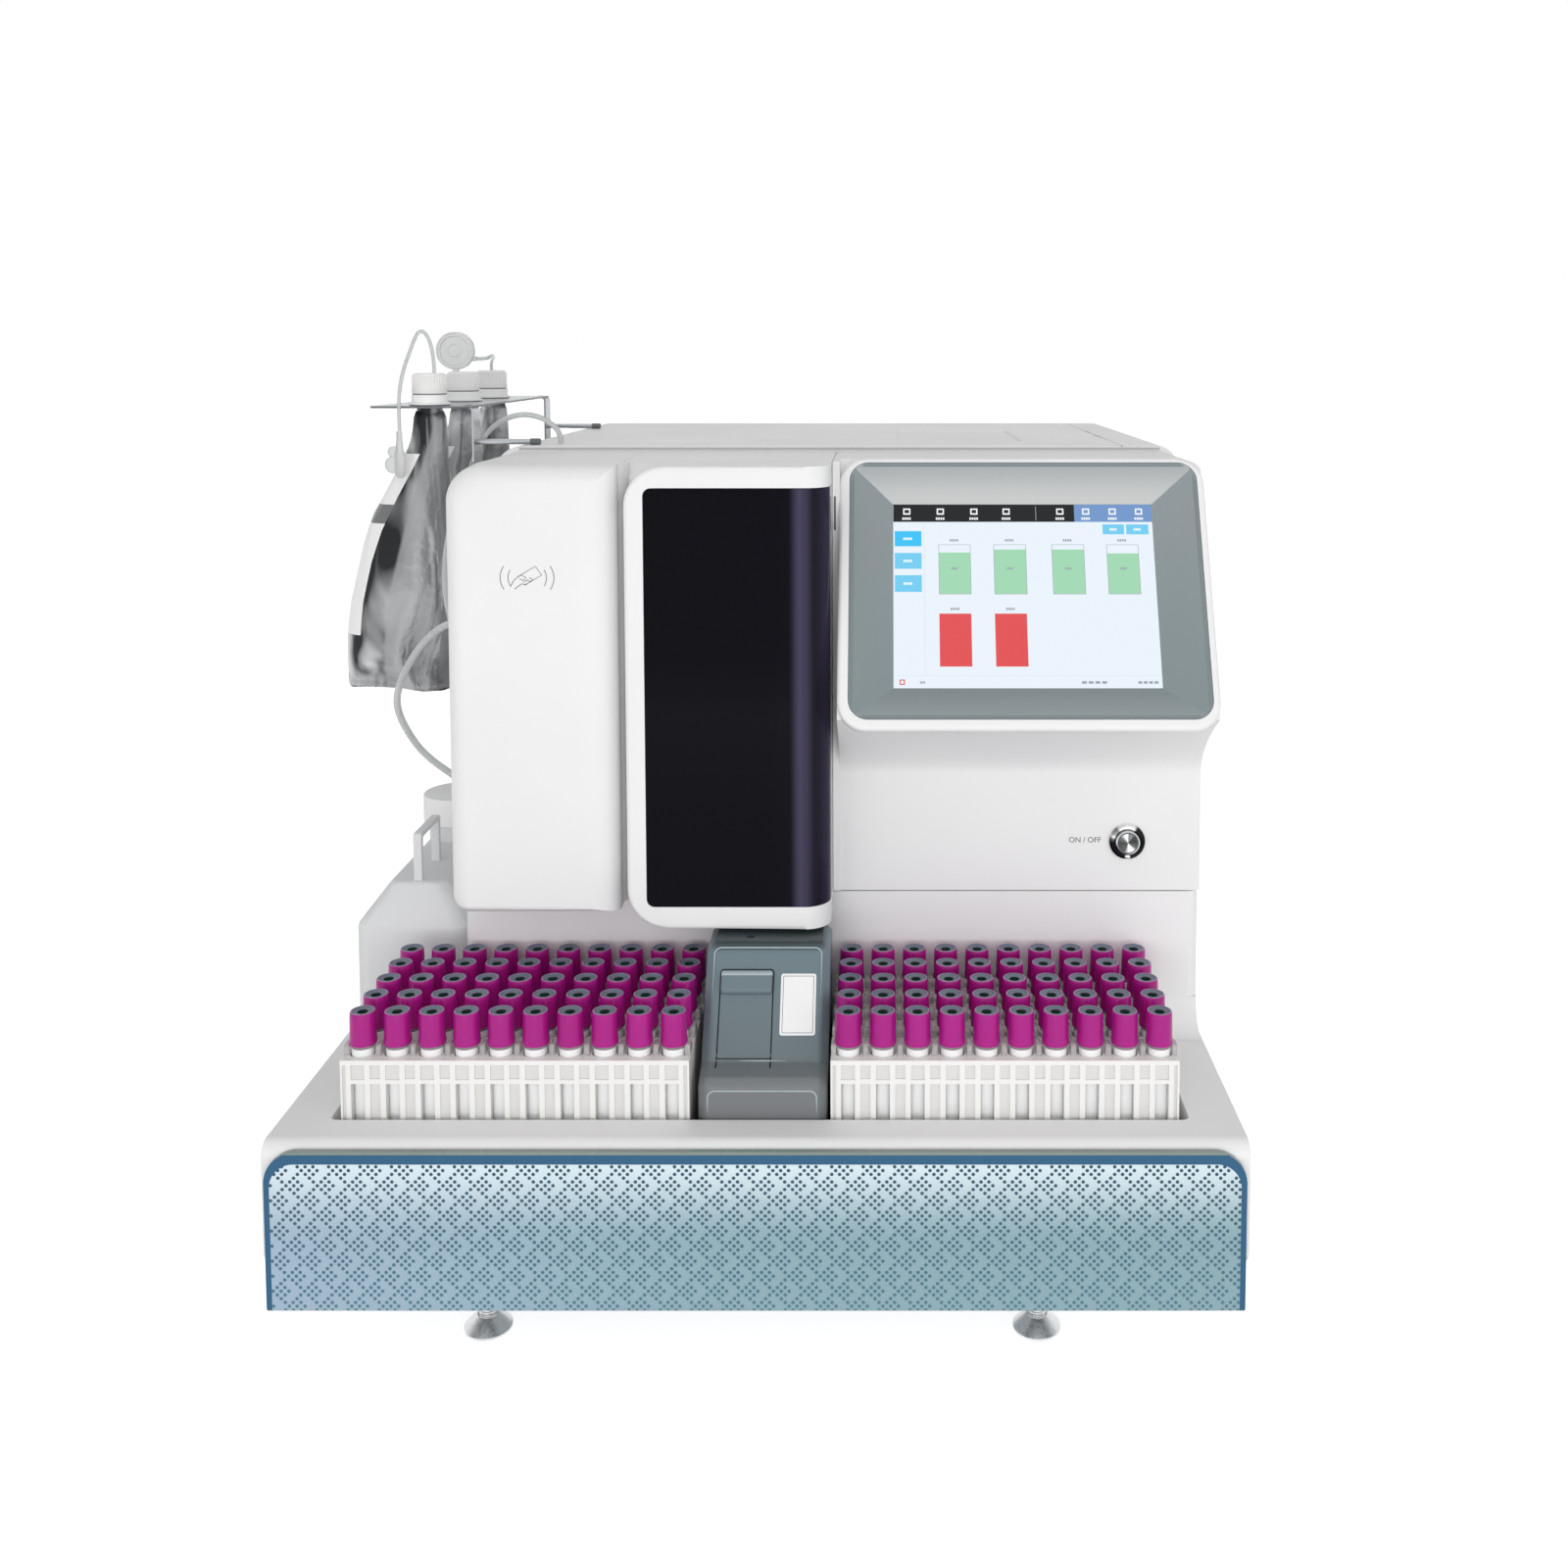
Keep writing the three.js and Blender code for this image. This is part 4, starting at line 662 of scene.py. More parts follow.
def make_panel():
    back = TRAY_FRONT - GAP
    front, bend = back - PANEL_THICKNESS, PANEL_BEND
    outline = [*arc((front + bend, PANEL_LOW + bend), bend, 270, 180),
               *arc((front + bend, PANEL_TOP - bend), bend, 180, 90), (back, PANEL_TOP),
               (back, PANEL_LOW + PANEL_THICKNESS), (back + PANEL_LIP, PANEL_LOW + PANEL_THICKNESS),
               (back + PANEL_LIP, PANEL_LOW)]
    panel = prism("front_fascia", [(-PANEL_HALF, y, z) for y, z in outline], (PANEL_HALF * 2, 0, 0))
    mask = rounded("mask", (-PANEL_HALF, PANEL_HALF), (front - PAST, back + 15), (PANEL_LOW, PANEL_TOP),
                   PANEL_CORNER, "y", 14, lambda m: m.z > 100)
    # The top edge gets a painted reflection; the rounding below it and the sides get painted shade
    return painted(tidy(combine(panel, "INTERSECT", mask)), fascia_paint(),
                   (fascia_edge_reflection, lambda m, n: n.z > 0.6 and m.z > 100),
                   (fascia_edge_shade, lambda m, n: n.z > 0.4 and m.z > 100), (fascia_side_shade, lambda m, n: abs(n.x) > 0.6),
                   (zinc, lambda m, n: n.y > 0.3 or n.z < -0.9 or m.y > front + 4))


settled(make_tray(), "cover_plastic", "tray_shell")
settled(make_panel(), "panel_paint", "front_panel")

# Racks: a comb of square recesses over tall windows, with clear tabs between the tubes
RACK_LENGTH, RACK_HALF, RACK_FOOT, RACK_TOP = 200.0, 11.0, 108.3, 165.3
WINDOW_HALF, STRIP_HALF, WINDOW_Z, SQUARE_TOP = 3.95, 2.9, (RACK_FOOT + 3, 151.5), 162.6


def in_recess(m, n):
    """Whether a face of the rack lies inside one of its recesses or windows."""
    return (RACK_FOOT + 1 < m.z < RACK_TOP - 2 and abs(m.y) < RACK_HALF - 0.1
            and 0.5 < m.x < RACK_LENGTH - 0.5)


def make_rack():
    rack = block("rack", (0, RACK_LENGTH), (-RACK_HALF, RACK_HALF), (RACK_FOOT, RACK_TOP))
    outside, floor = RACK_HALF + 2, RACK_HALF - 0.9
    faces = (-outside, -floor), (floor, outside)
    middles = [TUBE_PITCH * (k + 0.5) for k in range(TUBE_COUNT)]
    recesses, windows = [], []
    for x in middles:
        windows.append(block("window", (x - WINDOW_HALF, x + WINDOW_HALF), (-outside, outside), WINDOW_Z))
        cells = [(x, WINDOW_HALF, (153.8, SQUARE_TOP))]
        if x > TUBE_PITCH:
            cells += [(x - TUBE_PITCH / 2, STRIP_HALF, z) for z in ((154.4, SQUARE_TOP), WINDOW_Z)]
        recesses += [block("recess", (place - half, place + half), y, z)
                     for y in faces for place, half, z in cells]
    recesses += [block("end", (x, x + 2), y, (WINDOW_Z[0], SQUARE_TOP))
                 for x in (1.2, RACK_LENGTH - 3.2) for y in faces]
    carve(rack, joined("recesses", recesses), joined("windows", windows))
    pocket = [(7.2, RACK_FOOT + 2), (7.2, RACK_TOP - 0.6), (7.9, RACK_TOP + 0.4), (7.9, 170)]
    pockets = [turned("pocket", pocket, (x, 0, 0), 28) for x in middles]
    carve(rack, joined("pockets", pockets))
    # Faces inside the recesses and windows get a darker white: painted shade
    painted(tidy(rack), rack_white, (rack_shade, in_recess))
    tabs = []
    for k in range(TUBE_COUNT + 1):
        x = TUBE_PITCH * k + (1.6 if k == 0 else -1.6 if k == TUBE_COUNT else 0)
        tab = rounded("tab", (x - 1.5, x + 1.5), (-5, 5), (RACK_TOP - 0.2, RACK_TOP + 6.2), 2.4, "x", 4,
                      lambda m: m.z > RACK_TOP + 5)
        tabs.append(soften(tab, 0.4))
    return joined("rack", [rack, painted(joined("tabs", tabs), clear_tab)])


def make_tubes():
    """Ten tubes, each with a long paper label and a flared stopper with a sunk top, on one soft strip."""
    x = TUBE_PITCH / 2
    tube = turned("tube", [(3.2, 110.7), (5.4, 111.8), (6.3, 114.4), (6.5, 117), (6.5, 118), (6.56, 118.05),
                           (6.56, 169.2), (6.5, 169.25), (6.5, 171.6)], (x, 0, 0), 32)
    painted(tube, tube_glass, (label_paper, lambda m, n: 118.02 < m.z < 169.22))
    cap = turned("cap", [(6.6, 171.1), (7.75, 171.2), (7.9, 171.8), (7.85, 173), (7.55, 176), (7.4, 186.5),
                         (7.2, 189.6), (6.9, 190.15), (6.3, 190.3), (5.9, 190.1), (5.6, 189.7), (3.4, 189.5),
                         (3.0, 189.3), (2.8, 187), (0.3, 186.8)], (x, 0, 0), 40)

    def away(m):
        return math.hypot(m.x - x, m.y)
    # The rim's upward faces are painted pale: a painted highlight
    painted(cap, cap_magenta, (cap_hole, lambda m, n: away(m) < 3.1 and m.z > 180),
            (cap_grey, lambda m, n: away(m) < 6.3 and m.z > 188),
            (cap_rim_highlight, lambda m, n: away(m) < 6.75 and m.z > 188 and n.z > 0.3))
    first = joined("tube", [tube, cap])
    rest = [copied(first, "tube", (TUBE_PITCH * k, 0, 0)) for k in range(1, TUBE_COUNT)]
    strip = block("strip", (WALL + 0.2, RACK_LENGTH - WALL - 0.2), (-6.8, 6.8), (110.6, 111.4))
    return joined("tubes", [first, *rest, painted(strip, clear_tab)])


rack_pattern, tubes_pattern = make_rack(), make_tubes()
for side_name, x_start in (("right", RACK_START), ("left", -RACK_START - RACK_LENGTH)):
    for row in range(ROWS):
        place_name = f"{side_name}_{row + 1}"
        for pattern, kind, slot in ((rack_pattern, "rack", "rack_plastic"),
                                    (tubes_pattern, "tubes", "tube_caps")):
            twin = copied(pattern, f"sample_{kind}_{place_name}", (x_start, ROW_PITCH * row, 0))
            settled(twin, slot, f"{kind}_{place_name}", body=f"rack_{place_name}_lift")
for pattern in (rack_pattern, tubes_pattern):
    bpy.data.objects.remove(pattern)

# Sample tower: a leaning face with a flap over the urgent sample's pocket
TOWER_X, TOWER_TOP, TOWER_BACK = (-36.0, 38.5), 212.5, 78.0
TOWER_FRONT, FACE_FOOT, FACE_TOP_Y = -12.5, (0, 4.0, 158.0), 42.5
FACE_LEAN = math.atan2(FACE_TOP_Y - FACE_FOOT[1], TOWER_TOP - FACE_FOOT[2])
FLAP_X, FLAP_S, FLAP_THICKNESS = (-26.2, 4.6), (1.5, 51.1), 4.0


def on_face(piece):
    return leaned(piece, FACE_FOOT, FACE_LEAN)


def tower_plastic():
    """Moulded ABS with painted light and shade by height: lighter or darker as it leans towards the light or
    away from it, darker at its foot, and dark on top as a painted shadow of the door.
    """
    material, tree, shader = finish_of("blue-grey ABS of the tower with painted light and shade", "#4A4D4F", 0.4)
    height = node(tree, "SeparateXYZ", grain(tree, shader, 0.5, 0.015)).outputs["Z"]
    plug(graded(tree, height, [(z * MM, colour) for z, colour in (
        (108, "#4A4D4F"), (122, "#6A6D6F"), (140, "#777A7C"), (152, "#74787A"), (160, "#667378"),
        (209, "#6C7E86"), (212, "#3A4347"))]), shader.inputs["Base Color"])
    return material


tower_grey_painted_shade = tower_plastic()


def make_tower():
    outline = [(TOWER_FRONT, 108.3), (TOWER_BACK, 108.3), (TOWER_BACK, TOWER_TOP), (FACE_TOP_Y, TOWER_TOP),
               FACE_FOOT[1:], (-9, 154), (TOWER_FRONT, 150)]
    tower = prism("sample_tower", [(TOWER_X[0], y, z) for y, z in outline], (TOWER_X[1] - TOWER_X[0], 0, 0))
    round_edges(tower, 5, lambda m, d: min(abs(m.x - x) for x in TOWER_X) < 0.1 and m.y < TOWER_BACK - 1
                and m.z > 109, 1)
    round_edges(tower, 4.5, along("x", lambda m: abs(m.z - TOWER_TOP) < 0.1 and m.y < 50), 1)
    round_edges(tower, 1.6, lambda m, d: m.z > 110 and m.y < 60
                and not (abs(m.x) > 35 and abs(d.x) < 0.1 and m.y > 20), 3)
    x0, x1 = FLAP_X
    depth = (-4.8, 9)
    recess = rounded("recess", (x0 - 0.8, x1 + 0.8), (FLAP_S[0] - 0.6, FLAP_S[1] + 0.9), depth, 2.2, "z", 5,
                     lambda m: m.y > 40)
    slots = [on_face(block("slot", (x, x + 0.8), (-4.5, 2), depth)) for x in (x0 - 0.8, x1)]
    window = block("window", (-19.8, -1.8), (TOWER_FRONT, 62.5), (166, 193))
    hole = turned("hole", [(8.2, 112), (8.2, 206), (2.6, 209), (2.6, 230)], (-10.8, 54, 0), 28)
    painted(tidy(carve(tower, on_face(recess), *slots, window, hole), 30), tower_grey_painted_shade)
    left, right = TOWER_X[0] + 5, TOWER_X[1] - 5
    # Thin light rods along the face's top and sides, the lower block's top and the fold are painted highlights
    # on the rounded edges
    upper = [(x, s, 0.1) for x, s in arch(left, right, 36, 64.5, 4)]
    foot_block = [(x, TOWER_FRONT + 0.15, z) for x, z in arch(left + 1, right - 1, 134, 148, 4)]
    fold = [(x, FACE_FOOT[1] - 0.1, FACE_FOOT[2]) for x in (left, 0, right)]
    plate = rounded("label", (9.6, 30.6), (14, 49.2), (-0.2, 0.25), 1.4, "z", 4)
    border = block("line", (10.9, 29.3), (15.3, 47.9), (0.2, 0.28))
    inner = block("inner", (11.25, 28.95), (15.65, 47.55), (0.24, 0.31))
    return joined("sample_tower", [
        tower, on_face(rod("edge", upper, 0.9, highlight_grey, 0.1)), rod("edge", foot_block, 0.9, highlight_grey, 0.1),
        rod("edge", fold, 0.9, highlight_grey, 0.2), painted(on_face(plate), label_paper),
        painted(on_face(border), cap_grey), painted(on_face(inner), label_paper)])


def make_flap():
    flap = block("sample_flap", FLAP_X, FLAP_S, (-FLAP_THICKNESS, 0))
    roll = rounded("roll", FLAP_X, (FLAP_S[1] - 14, FLAP_S[1]), (-FLAP_THICKNESS + 0.4, 3.8), 3.6, "x", 8)
    round_edges(roll, 1.4, lambda m, d: abs(m.x - sum(FLAP_X) / 2) > 15 and m.z > 0, 3)
    round_edges(flap, 2.0, along("z", lambda m: m.y > 40), 5)
    weld(flap, roll)
    pins = turned("pins", [(1.2, 0), (1.2, FLAP_X[1] - FLAP_X[0] + 4)], (FLAP_X[0] - 2, FLAP_S[0] + 2, -2),
                  16, "X")
    flap = tidy(weld(flap, pins), 30)
    # The upper faces of the roll are painted light blue-grey: a painted highlight
    return on_face(painted(flap, tower_grey_painted_shade, (highlight_grey, lambda m, n: m.y > FLAP_S[1] - 6 and m.z > 1.2)))


settled(make_tower(), "tower_plastic", "tower_housing")
settled(make_flap(), "tower_plastic", "stat_flap", body="flap")

# Left front cover: a soft block that stands forward, with its top and side running back
PILLOW_RIGHT, PILLOW_FRONT, PILLOW_LOW = -95.0, 62.0, 222.4
PILLOW_DRAFT = (4.0, 2.0)
PILLOW_ROUND, PILLOW_CORNER, TOP_CORNER = 24.0, 12.0, 21.0
FOOT_SHARE, LEFT_SHARE = (0.25, 0.47), (0.47, 0.8)


def upper_left(middle):
    return middle.x < -150 and middle.z > 400


def rising(ends, value, low, size):
    """A share that rises from one end to the other as a value passes from a low over a size."""
    return ends[0] + (ends[1] - ends[0]) * max(0, min(1, (value - low) / size))


def pillow_solid(inset):
    pillow = block("left_soft_cover", (BODY_LEFT + inset, PILLOW_RIGHT - inset), (PILLOW_FRONT + inset, 150),
                   (PILLOW_LOW + inset, BODY_TOP - inset))
    for v in pillow.data.vertices:
        if v.co.y < spot(0, 100, 0).y:
            v.co.x += PILLOW_DRAFT[v.co.x > spot(-150, 0, 0).x] * MM
    round_edges(pillow, TOP_CORNER - inset, along("y", upper_left), 16)
    round_edges(pillow, PILLOW_CORNER - inset, along("y", lambda m: m.x < -150 and m.z < 300), 8)

    def share_of(m):
        if abs(m.y - PILLOW_FRONT - inset) > 0.1:
            return 0
        if m.x > PILLOW_RIGHT - 5 - inset:
            return 1
        if m.z < PILLOW_LOW + 14:
            return rising(FOOT_SHARE, m.z, PILLOW_LOW + inset, PILLOW_CORNER - inset)
        return rising(LEFT_SHARE, m.z, BODY_TOP - TOP_CORNER, TOP_CORNER - inset)
    return tidy(round_by_share(pillow, PILLOW_ROUND - inset, share_of, 12))


def pillow_back(inset, y, foot):
    return rounded("rear", (BODY_LEFT + inset, PILLOW_RIGHT - inset), y, (foot, BODY_TOP - inset),
                   TOP_CORNER - inset, "y", 16, upper_left)


def make_left_cover():
    cover = weld(pillow_solid(0), pillow_back(0, (BODY_FRONT, COVER_BACK), SEAM + GAP))
    hollow = weld(pillow_solid(WALL), pillow_back(WALL, (BODY_FRONT + WALL, COVER_BACK + PAST), SEAM - PAST))
    cover = painted(tidy(carve(cover, hollow), 30), white_abs)
    return joined("left_soft_cover", [cover, *make_card_symbol()])


def make_card_symbol():
    """Thin printed strokes: a hand that holds a card between two pairs of waves."""
    strokes = [arc((-4, 0), 12.4, 145, 215), arc((-2, 0), 9.6, 150, 210), arc((4, 0), 12.4, 35, -35),
               arc((2, 0), 9.8, 30, -30), [(-5.8, 0.6), (5.2, 7.1), (8.9, 1.7), (-1.5, -4.5)],
               [(-10.2, -5.4), (-7.8, -1.2), (-3.9, 1.7), (-0.5, 0.2), (-2.6, -1.6), (-4.5, -0.6)],
               [(-7.6, -6.9), (-3.6, -3.8), (-0.4, -4.0), (1.8, -2.3), (0.2, -1.2), (-2.2, -2.6)],
               [(1.8, -2.3), (3.6, -1.2), (1.4, 0.2)]]
    return [rod("stroke", [(-146 + x, PILLOW_FRONT - 0.02, 433 + z) for x, z in stroke], 0.42, print_grey)
            for stroke in strokes]


# Bay behind the door: an open box with the hinge's tabs and the needle's rail
DOOR_X, DOOR_Y, DOOR_Z = (-87.0, 38.0), (59.0, 96.0), (215.0, 501.0)
HINGE_X, HINGE_Y, HINGE_ROUND, TAB_THICKNESS = -81.0, 68.0, 4.2, 4.0
BAY_X, BAY_FRONT = (-94.7, 38.0), 97.2
TAB_LEVELS = (236.0, 476.0)


def make_bay():
    bay = rounded("sampling_bay", BAY_X, (BAY_FRONT, COVER_BACK), (SEAM + GAP, BODY_TOP), 14, "x", 8,
                  lambda m: m.y < BAY_FRONT + 0.1 and m.z > 400)
    inside = rounded("inside", (BAY_X[0] + WALL, BAY_X[1] - WALL), (BAY_FRONT - PAST, COVER_BACK - WALL),
                     (SEAM + GAP + WALL, BODY_TOP - WALL), 24, "y", 10, lambda m: m.x < 0)
    latch = block("latch", (BAY_X[1] - 1.4, BAY_X[1] + PAST), (110, 157), (453, 477))
    carve(bay, soften(inside, 1.5, 3), soften(latch, 1))
    bay = soften(tidy(bay), 0.8, 3, 60)
    rail = block("rail", (-8, 8), (COVER_BACK - 9, COVER_BACK - 2), (SEAM + WALL, BODY_TOP - WALL))
    levels = [(z, z + TAB_THICKNESS) for z in TAB_LEVELS]
    tabs = [block("tab", (BAY_X[0] + 0.5, HINGE_X + HINGE_ROUND), (BAY_FRONT + 0.2, BAY_FRONT + 6), z)
            for z in levels]
    arms = [rounded("arm", (HINGE_X - HINGE_ROUND, HINGE_X + HINGE_ROUND),
                    (HINGE_Y - HINGE_ROUND, BAY_FRONT + 3), z, 4, "z", 6, lambda m: m.y < 80) for z in levels]
    weld(bay, rail, *[weld(tab, arm) for tab, arm in zip(tabs, arms)])
    left, foot, back = BAY_X[0] + 0.1, PILLOW_LOW + 1, BAY_FRONT + 1.5
    curve = [(0, 82), (1.2, 83.6), (2.5, 86), (3.7, 89), (4.7, 92.5), (5.5, 97), (5.8, back), (0, back)]
    jamb = prism("jamb", [(left + x, y, foot) for x, y in curve], (0, 0, BODY_TOP - 0.2 - foot))
    return painted(joined("sampling_bay", [tidy(bay, 30), tidy(jamb, 30)]), white_abs)


# Door: a shell with a dark window that wraps round its right-hand edge
def door_solid(inset, back):
    x, z = ((low + inset, high - inset) for low, high in (DOOR_X, DOOR_Z))
    front = DOOR_Y[0] + inset
    solid = rounded("door_solid", x, (front, back), z, 24 - inset, "y", 14, lambda m: m.x < -50)
    return round_edges(solid, 16 - inset, along("z", lambda m: m.x > 0 and m.y < front + 0.1), 14)


def window_region(play):
    return rounded("region", (DOOR_X[0] + 12 + play, DOOR_X[1] + PAST), (50, 120),
                   (DOOR_Z[0] + 14 + play, DOOR_Z[1] - 13 - play), 5 - play, "y", 6, lambda m: m.x < 0)


def make_door():
    door = door_solid(0, DOOR_Y[1])
    round_edges(door, 3, lambda m, d: abs(m.y - DOOR_Y[0]) < 0.1 and m.x < 20, 4)
    carve(door, door_solid(4, DOOR_Y[1] + PAST), window_region(0))
    notches = [block("notch", (DOOR_X[0] - PAST, DOOR_X[0] + 6.3), (DOOR_Y[0] + 4.3, 110),
                     (z - 1, z + TAB_THICKNESS + 1)) for z in TAB_LEVELS]
    slot = block("needle_slot", (-20, 20), (82, 110), (DOOR_Z[0] - PAST, DOOR_Z[0] + 6))
    carve(door, *notches, soften(slot, 3, 3))
    weld(door, *[block("knuckle", (DOOR_X[0] + 0.6, HINGE_X + 4.6), (DOOR_Y[0] + 1, HINGE_Y + 4.6), z)
                 for z in ((241, 253), (463, 475))])
    pin = turned("pin", [(2.3, DOOR_Z[0] + 4), (2.3, DOOR_Z[1] - 4)], (HINGE_X, HINGE_Y, 0), 20)
    return painted(tidy(carve(door, pin), 30), white_abs)


def smoked_acrylic_painted_reflection():
    """Nearly black, with a painted reflection: a purple highlight band along the bend at the door's free edge.
    """
    material, tree, shader = finish_of("smoked purple acrylic with a painted reflection", "#0B0A12", 0.07, Specular_IOR_Level=0.05)
    across = node(tree, "SeparateXYZ", grain(tree, shader, 40, 0.02, 1.0)).outputs["X"]
    stops = [(spot(x, 0, 0).x, colour) for x, colour in (
        (0, "#0B0A12"), (12.92, "#0E0C16"), (20.14, "#48425A"), (22.8, "#403B51"), (28.88, "#1E1B28"),
        (DOOR_X[1], "#332E41"))]
    plug(graded(tree, across, stops, "EASE"), shader.inputs["Base Color"])
    return material


def make_door_window():
    window = door_solid(0, DOOR_Y[1] - GAP)
    carve(window, door_solid(WALL, DOOR_Y[1] + PAST))
    return painted(tidy(combine(window, "INTERSECT", window_region(GAP)), 30), smoked_acrylic_painted_reflection())


# Lid, rear housing and lower cover
LID_FOOT, BODY_ROUND = 470.0, 8.0


def plan_block(name, inset, z):
    return rounded(name, (BODY_LEFT + inset, BODY_RIGHT - inset), (BODY_FRONT + inset, BODY_BACK - inset), z,
                   BODY_ROUND - inset, "z", 8)


def lid_solid(inset):
    back, foot = BODY_BACK - inset, LID_FOOT - inset * 2
    lid = rounded("equipment_lid", (BODY_LEFT + inset, BODY_RIGHT - inset), (COVER_BACK + GAP + inset, back),
                  (foot, LID_TOP - inset), TOP_CORNER - inset, "y", 16, lambda m: m.x < 0 and m.z > 480)
    round_edges(lid, 14 - inset, along("y", lambda m: m.x > 0 and m.z > 480), 12)
    return round_edges(lid, BODY_ROUND - inset, lambda m, d: abs(m.y - back) < 0.1 and m.z > foot + 1, 8)


def make_lid():
    lid = lid_solid(0)
    round_edges(lid, 0.5, lambda m, d: abs(m.y - COVER_BACK - GAP) < 0.1 and m.z > LID_FOOT + 1, 2)
    above = LID_TOP + PAST
    hatch = rounded("hatch", (81, 172), (255, 398), (LID_TOP - 1.4, above), 4, "z", 5)
    seam = block("seam", (236.2, 237.2), (COVER_BACK - PAST, BODY_BACK + PAST), (LID_TOP - 1.2, above))
    slots = [block("slot", (235.2, 238.2), y, (LID_TOP - 2.4, above)) for y in ((300, 345), (358, 392))]
    tidy(carve(lid, lid_solid(WALL), soften(hatch, 0.8, 2, 60), seam, *slots), 30)
    # A light grey strip across the step under the lid's front edge is painted shade
    lid_step_shade_strip = block("lid_step_shade_strip", (BODY_LEFT + 18, BODY_RIGHT - 12), (COVER_BACK + 0.1, COVER_BACK + 1),
                   (502.0, 503.7))
    return joined("equipment_lid", [painted(lid, white_abs), painted(lid_step_shade_strip, lid_step_shade)])


VENT_COUNT, VENT_PITCH, VENT_HALF, VENT_HEIGHT = 6, 14.0, 2.0, 60.0


def vent_tool(foot):
    middle = (BODY_LEFT + BODY_RIGHT) / 2
    vents = []
    for k in range(VENT_COUNT):
        x = middle + (k - (VENT_COUNT - 1) / 2) * VENT_PITCH
        vents.append(rounded("vent", (x - VENT_HALF, x + VENT_HALF), (BODY_BACK - 6, BODY_BACK + 6),
                             (foot, foot + VENT_HEIGHT), 1.9, "y", 4))
    return joined("vents", vents)


def make_rear_housing():
    housing = plan_block("rear_housing_cover", 0, (SEAM + GAP, LID_FOOT - GAP))
    front = block("front", (BODY_LEFT - PAST, BODY_RIGHT + PAST), (0, COVER_BACK + GAP), (SEAM - 9, 490))
    carve(housing, plan_block("inner", WALL, (SEAM - PAST, 480)), vent_tool(342.3), front)
    return painted(soften(tidy(housing), 0.5, 2, 60), white_abs)


def make_lower_cover():
    cover = plan_block("lower_body_cover", 0, (TRAY_BOTTOM, SEAM))
    carve(cover, plan_block("inner", WALL, (TRAY_BOTTOM - PAST, SEAM + PAST)), vent_tool(91))
    left, behind, rim = WELL_HALF + 0.5, BODY_FRONT + 6, TRAY_RIM + 0.1
    outline = [*arc((BODY_FRONT - 20, rim + 20), 20, 270, 360, 12), (behind, rim + 20), (behind, rim)]
    fillet = prism("fillet", [(left, y, z) for y, z in outline], (BODY_RIGHT - WELL_HALF - 1.7, 0, 0))
    return painted(joined("lower_body_cover", [soften(tidy(cover), 0.5, 2, 60), tidy(fillet, 30)]), white_abs)


# Right cover: a flat face that sweeps forward into the tilted head for the screen
HEAD_ORIGIN, HEAD_TILT, HEAD_HEIGHT = (42.5, 42.0, 343.6), math.radians(24.7), 175.5
HEAD_WIDTH, HEAD_THICKNESS, PLATE_THICKNESS = BODY_RIGHT - HEAD_ORIGIN[0], 14.0, 4.0
BUTTON_X, BUTTON_Z = 227.9, 255.2


def on_head(piece):
    return leaned(piece, HEAD_ORIGIN, HEAD_TILT)


def head_point(along_face, depth):
    """The Y and Z of a place up the head's face and behind it."""
    return (HEAD_ORIGIN[1] + math.sin(HEAD_TILT) * along_face + math.cos(HEAD_TILT) * depth,
            HEAD_ORIGIN[2] + math.cos(HEAD_TILT) * along_face - math.sin(HEAD_TILT) * depth)


def cover_profile(inset):
    """The head's side outline, pairs of Y and Z, from the bottom front up and round."""
    front, back, foot = BODY_FRONT + inset, COVER_BACK + inset * 3, SEAM + 0.8 - inset * 3
    start, turn, chin = (front, 300.0), (front, 318.0 + inset), head_point(8 + inset, 8 + inset)
    under = [tuple((1 - t) ** 2 * a + 2 * t * (1 - t) * b + t * t * c for a, b, c in zip(start, turn, chin))
             for t in (k / 12 for k in range(13))]
    brow = head_point(HEAD_HEIGHT - 6 - inset, 8 + inset)
    top = BODY_TOP - inset
    return [(front, foot), *under, brow, (brow[0] + 6, top), (back, top), (back, foot)]


def cover_solid(inset):
    outline = [(HEAD_ORIGIN[0] + inset, y, z) for y, z in cover_profile(inset)]
    solid = prism("screen_cover", outline, (HEAD_WIDTH - inset * 2, 0, 0))
    return round_edges(solid, 14 - inset, along("y", lambda m: m.x > 200 and m.z > 480 and m.y > 120), 12)


def make_right_cover():
    cover = carve(cover_solid(0), cover_solid(WALL))
    slab = rounded("slab", (0, HEAD_WIDTH), (0, HEAD_HEIGHT), (-HEAD_THICKNESS, 0), 18, "z", 12)
    round_edges(slab, 3, lambda m, d: m.z > -0.1, 5)
    round_edges(slab, 6, lambda m, d: m.z < 0.1 - HEAD_THICKNESS, 5)
    weld(cover, on_head(slab))
    recess = rounded("recess", (6.7, HEAD_WIDTH - 4.7), (6.7, HEAD_HEIGHT - 3.7), (-PLATE_THICKNESS - 0.4, 9),
                     12.3, "z", 12)
    hole = turned("hole", [(9.5, -12), (9.5, 12)], (BUTTON_X, BODY_FRONT, BUTTON_Z), 40, "Y")
    groove = BAY_X[1]
    wall = block("groove_wall", (groove + 0.4, HEAD_ORIGIN[0] + 0.5), (104.4, COVER_BACK - 1),
                 (SEAM + 1, BODY_TOP - 0.5))
    cover = tidy(carve(cover, on_head(recess), hole), 30)
    # A dark grey block on the groove wall stands for the latch's slot: painted shade
    latch = soften(block("latch_slot", (groove + 1.0, groove + 2.8), (104.2, 105.4), (457, 479)), 0.6)
    return joined("screen_cover", [painted(cover, white_abs), painted(wall, white_abs),
                                   painted(latch, dark_vinyl_and_shade), make_lettering()])


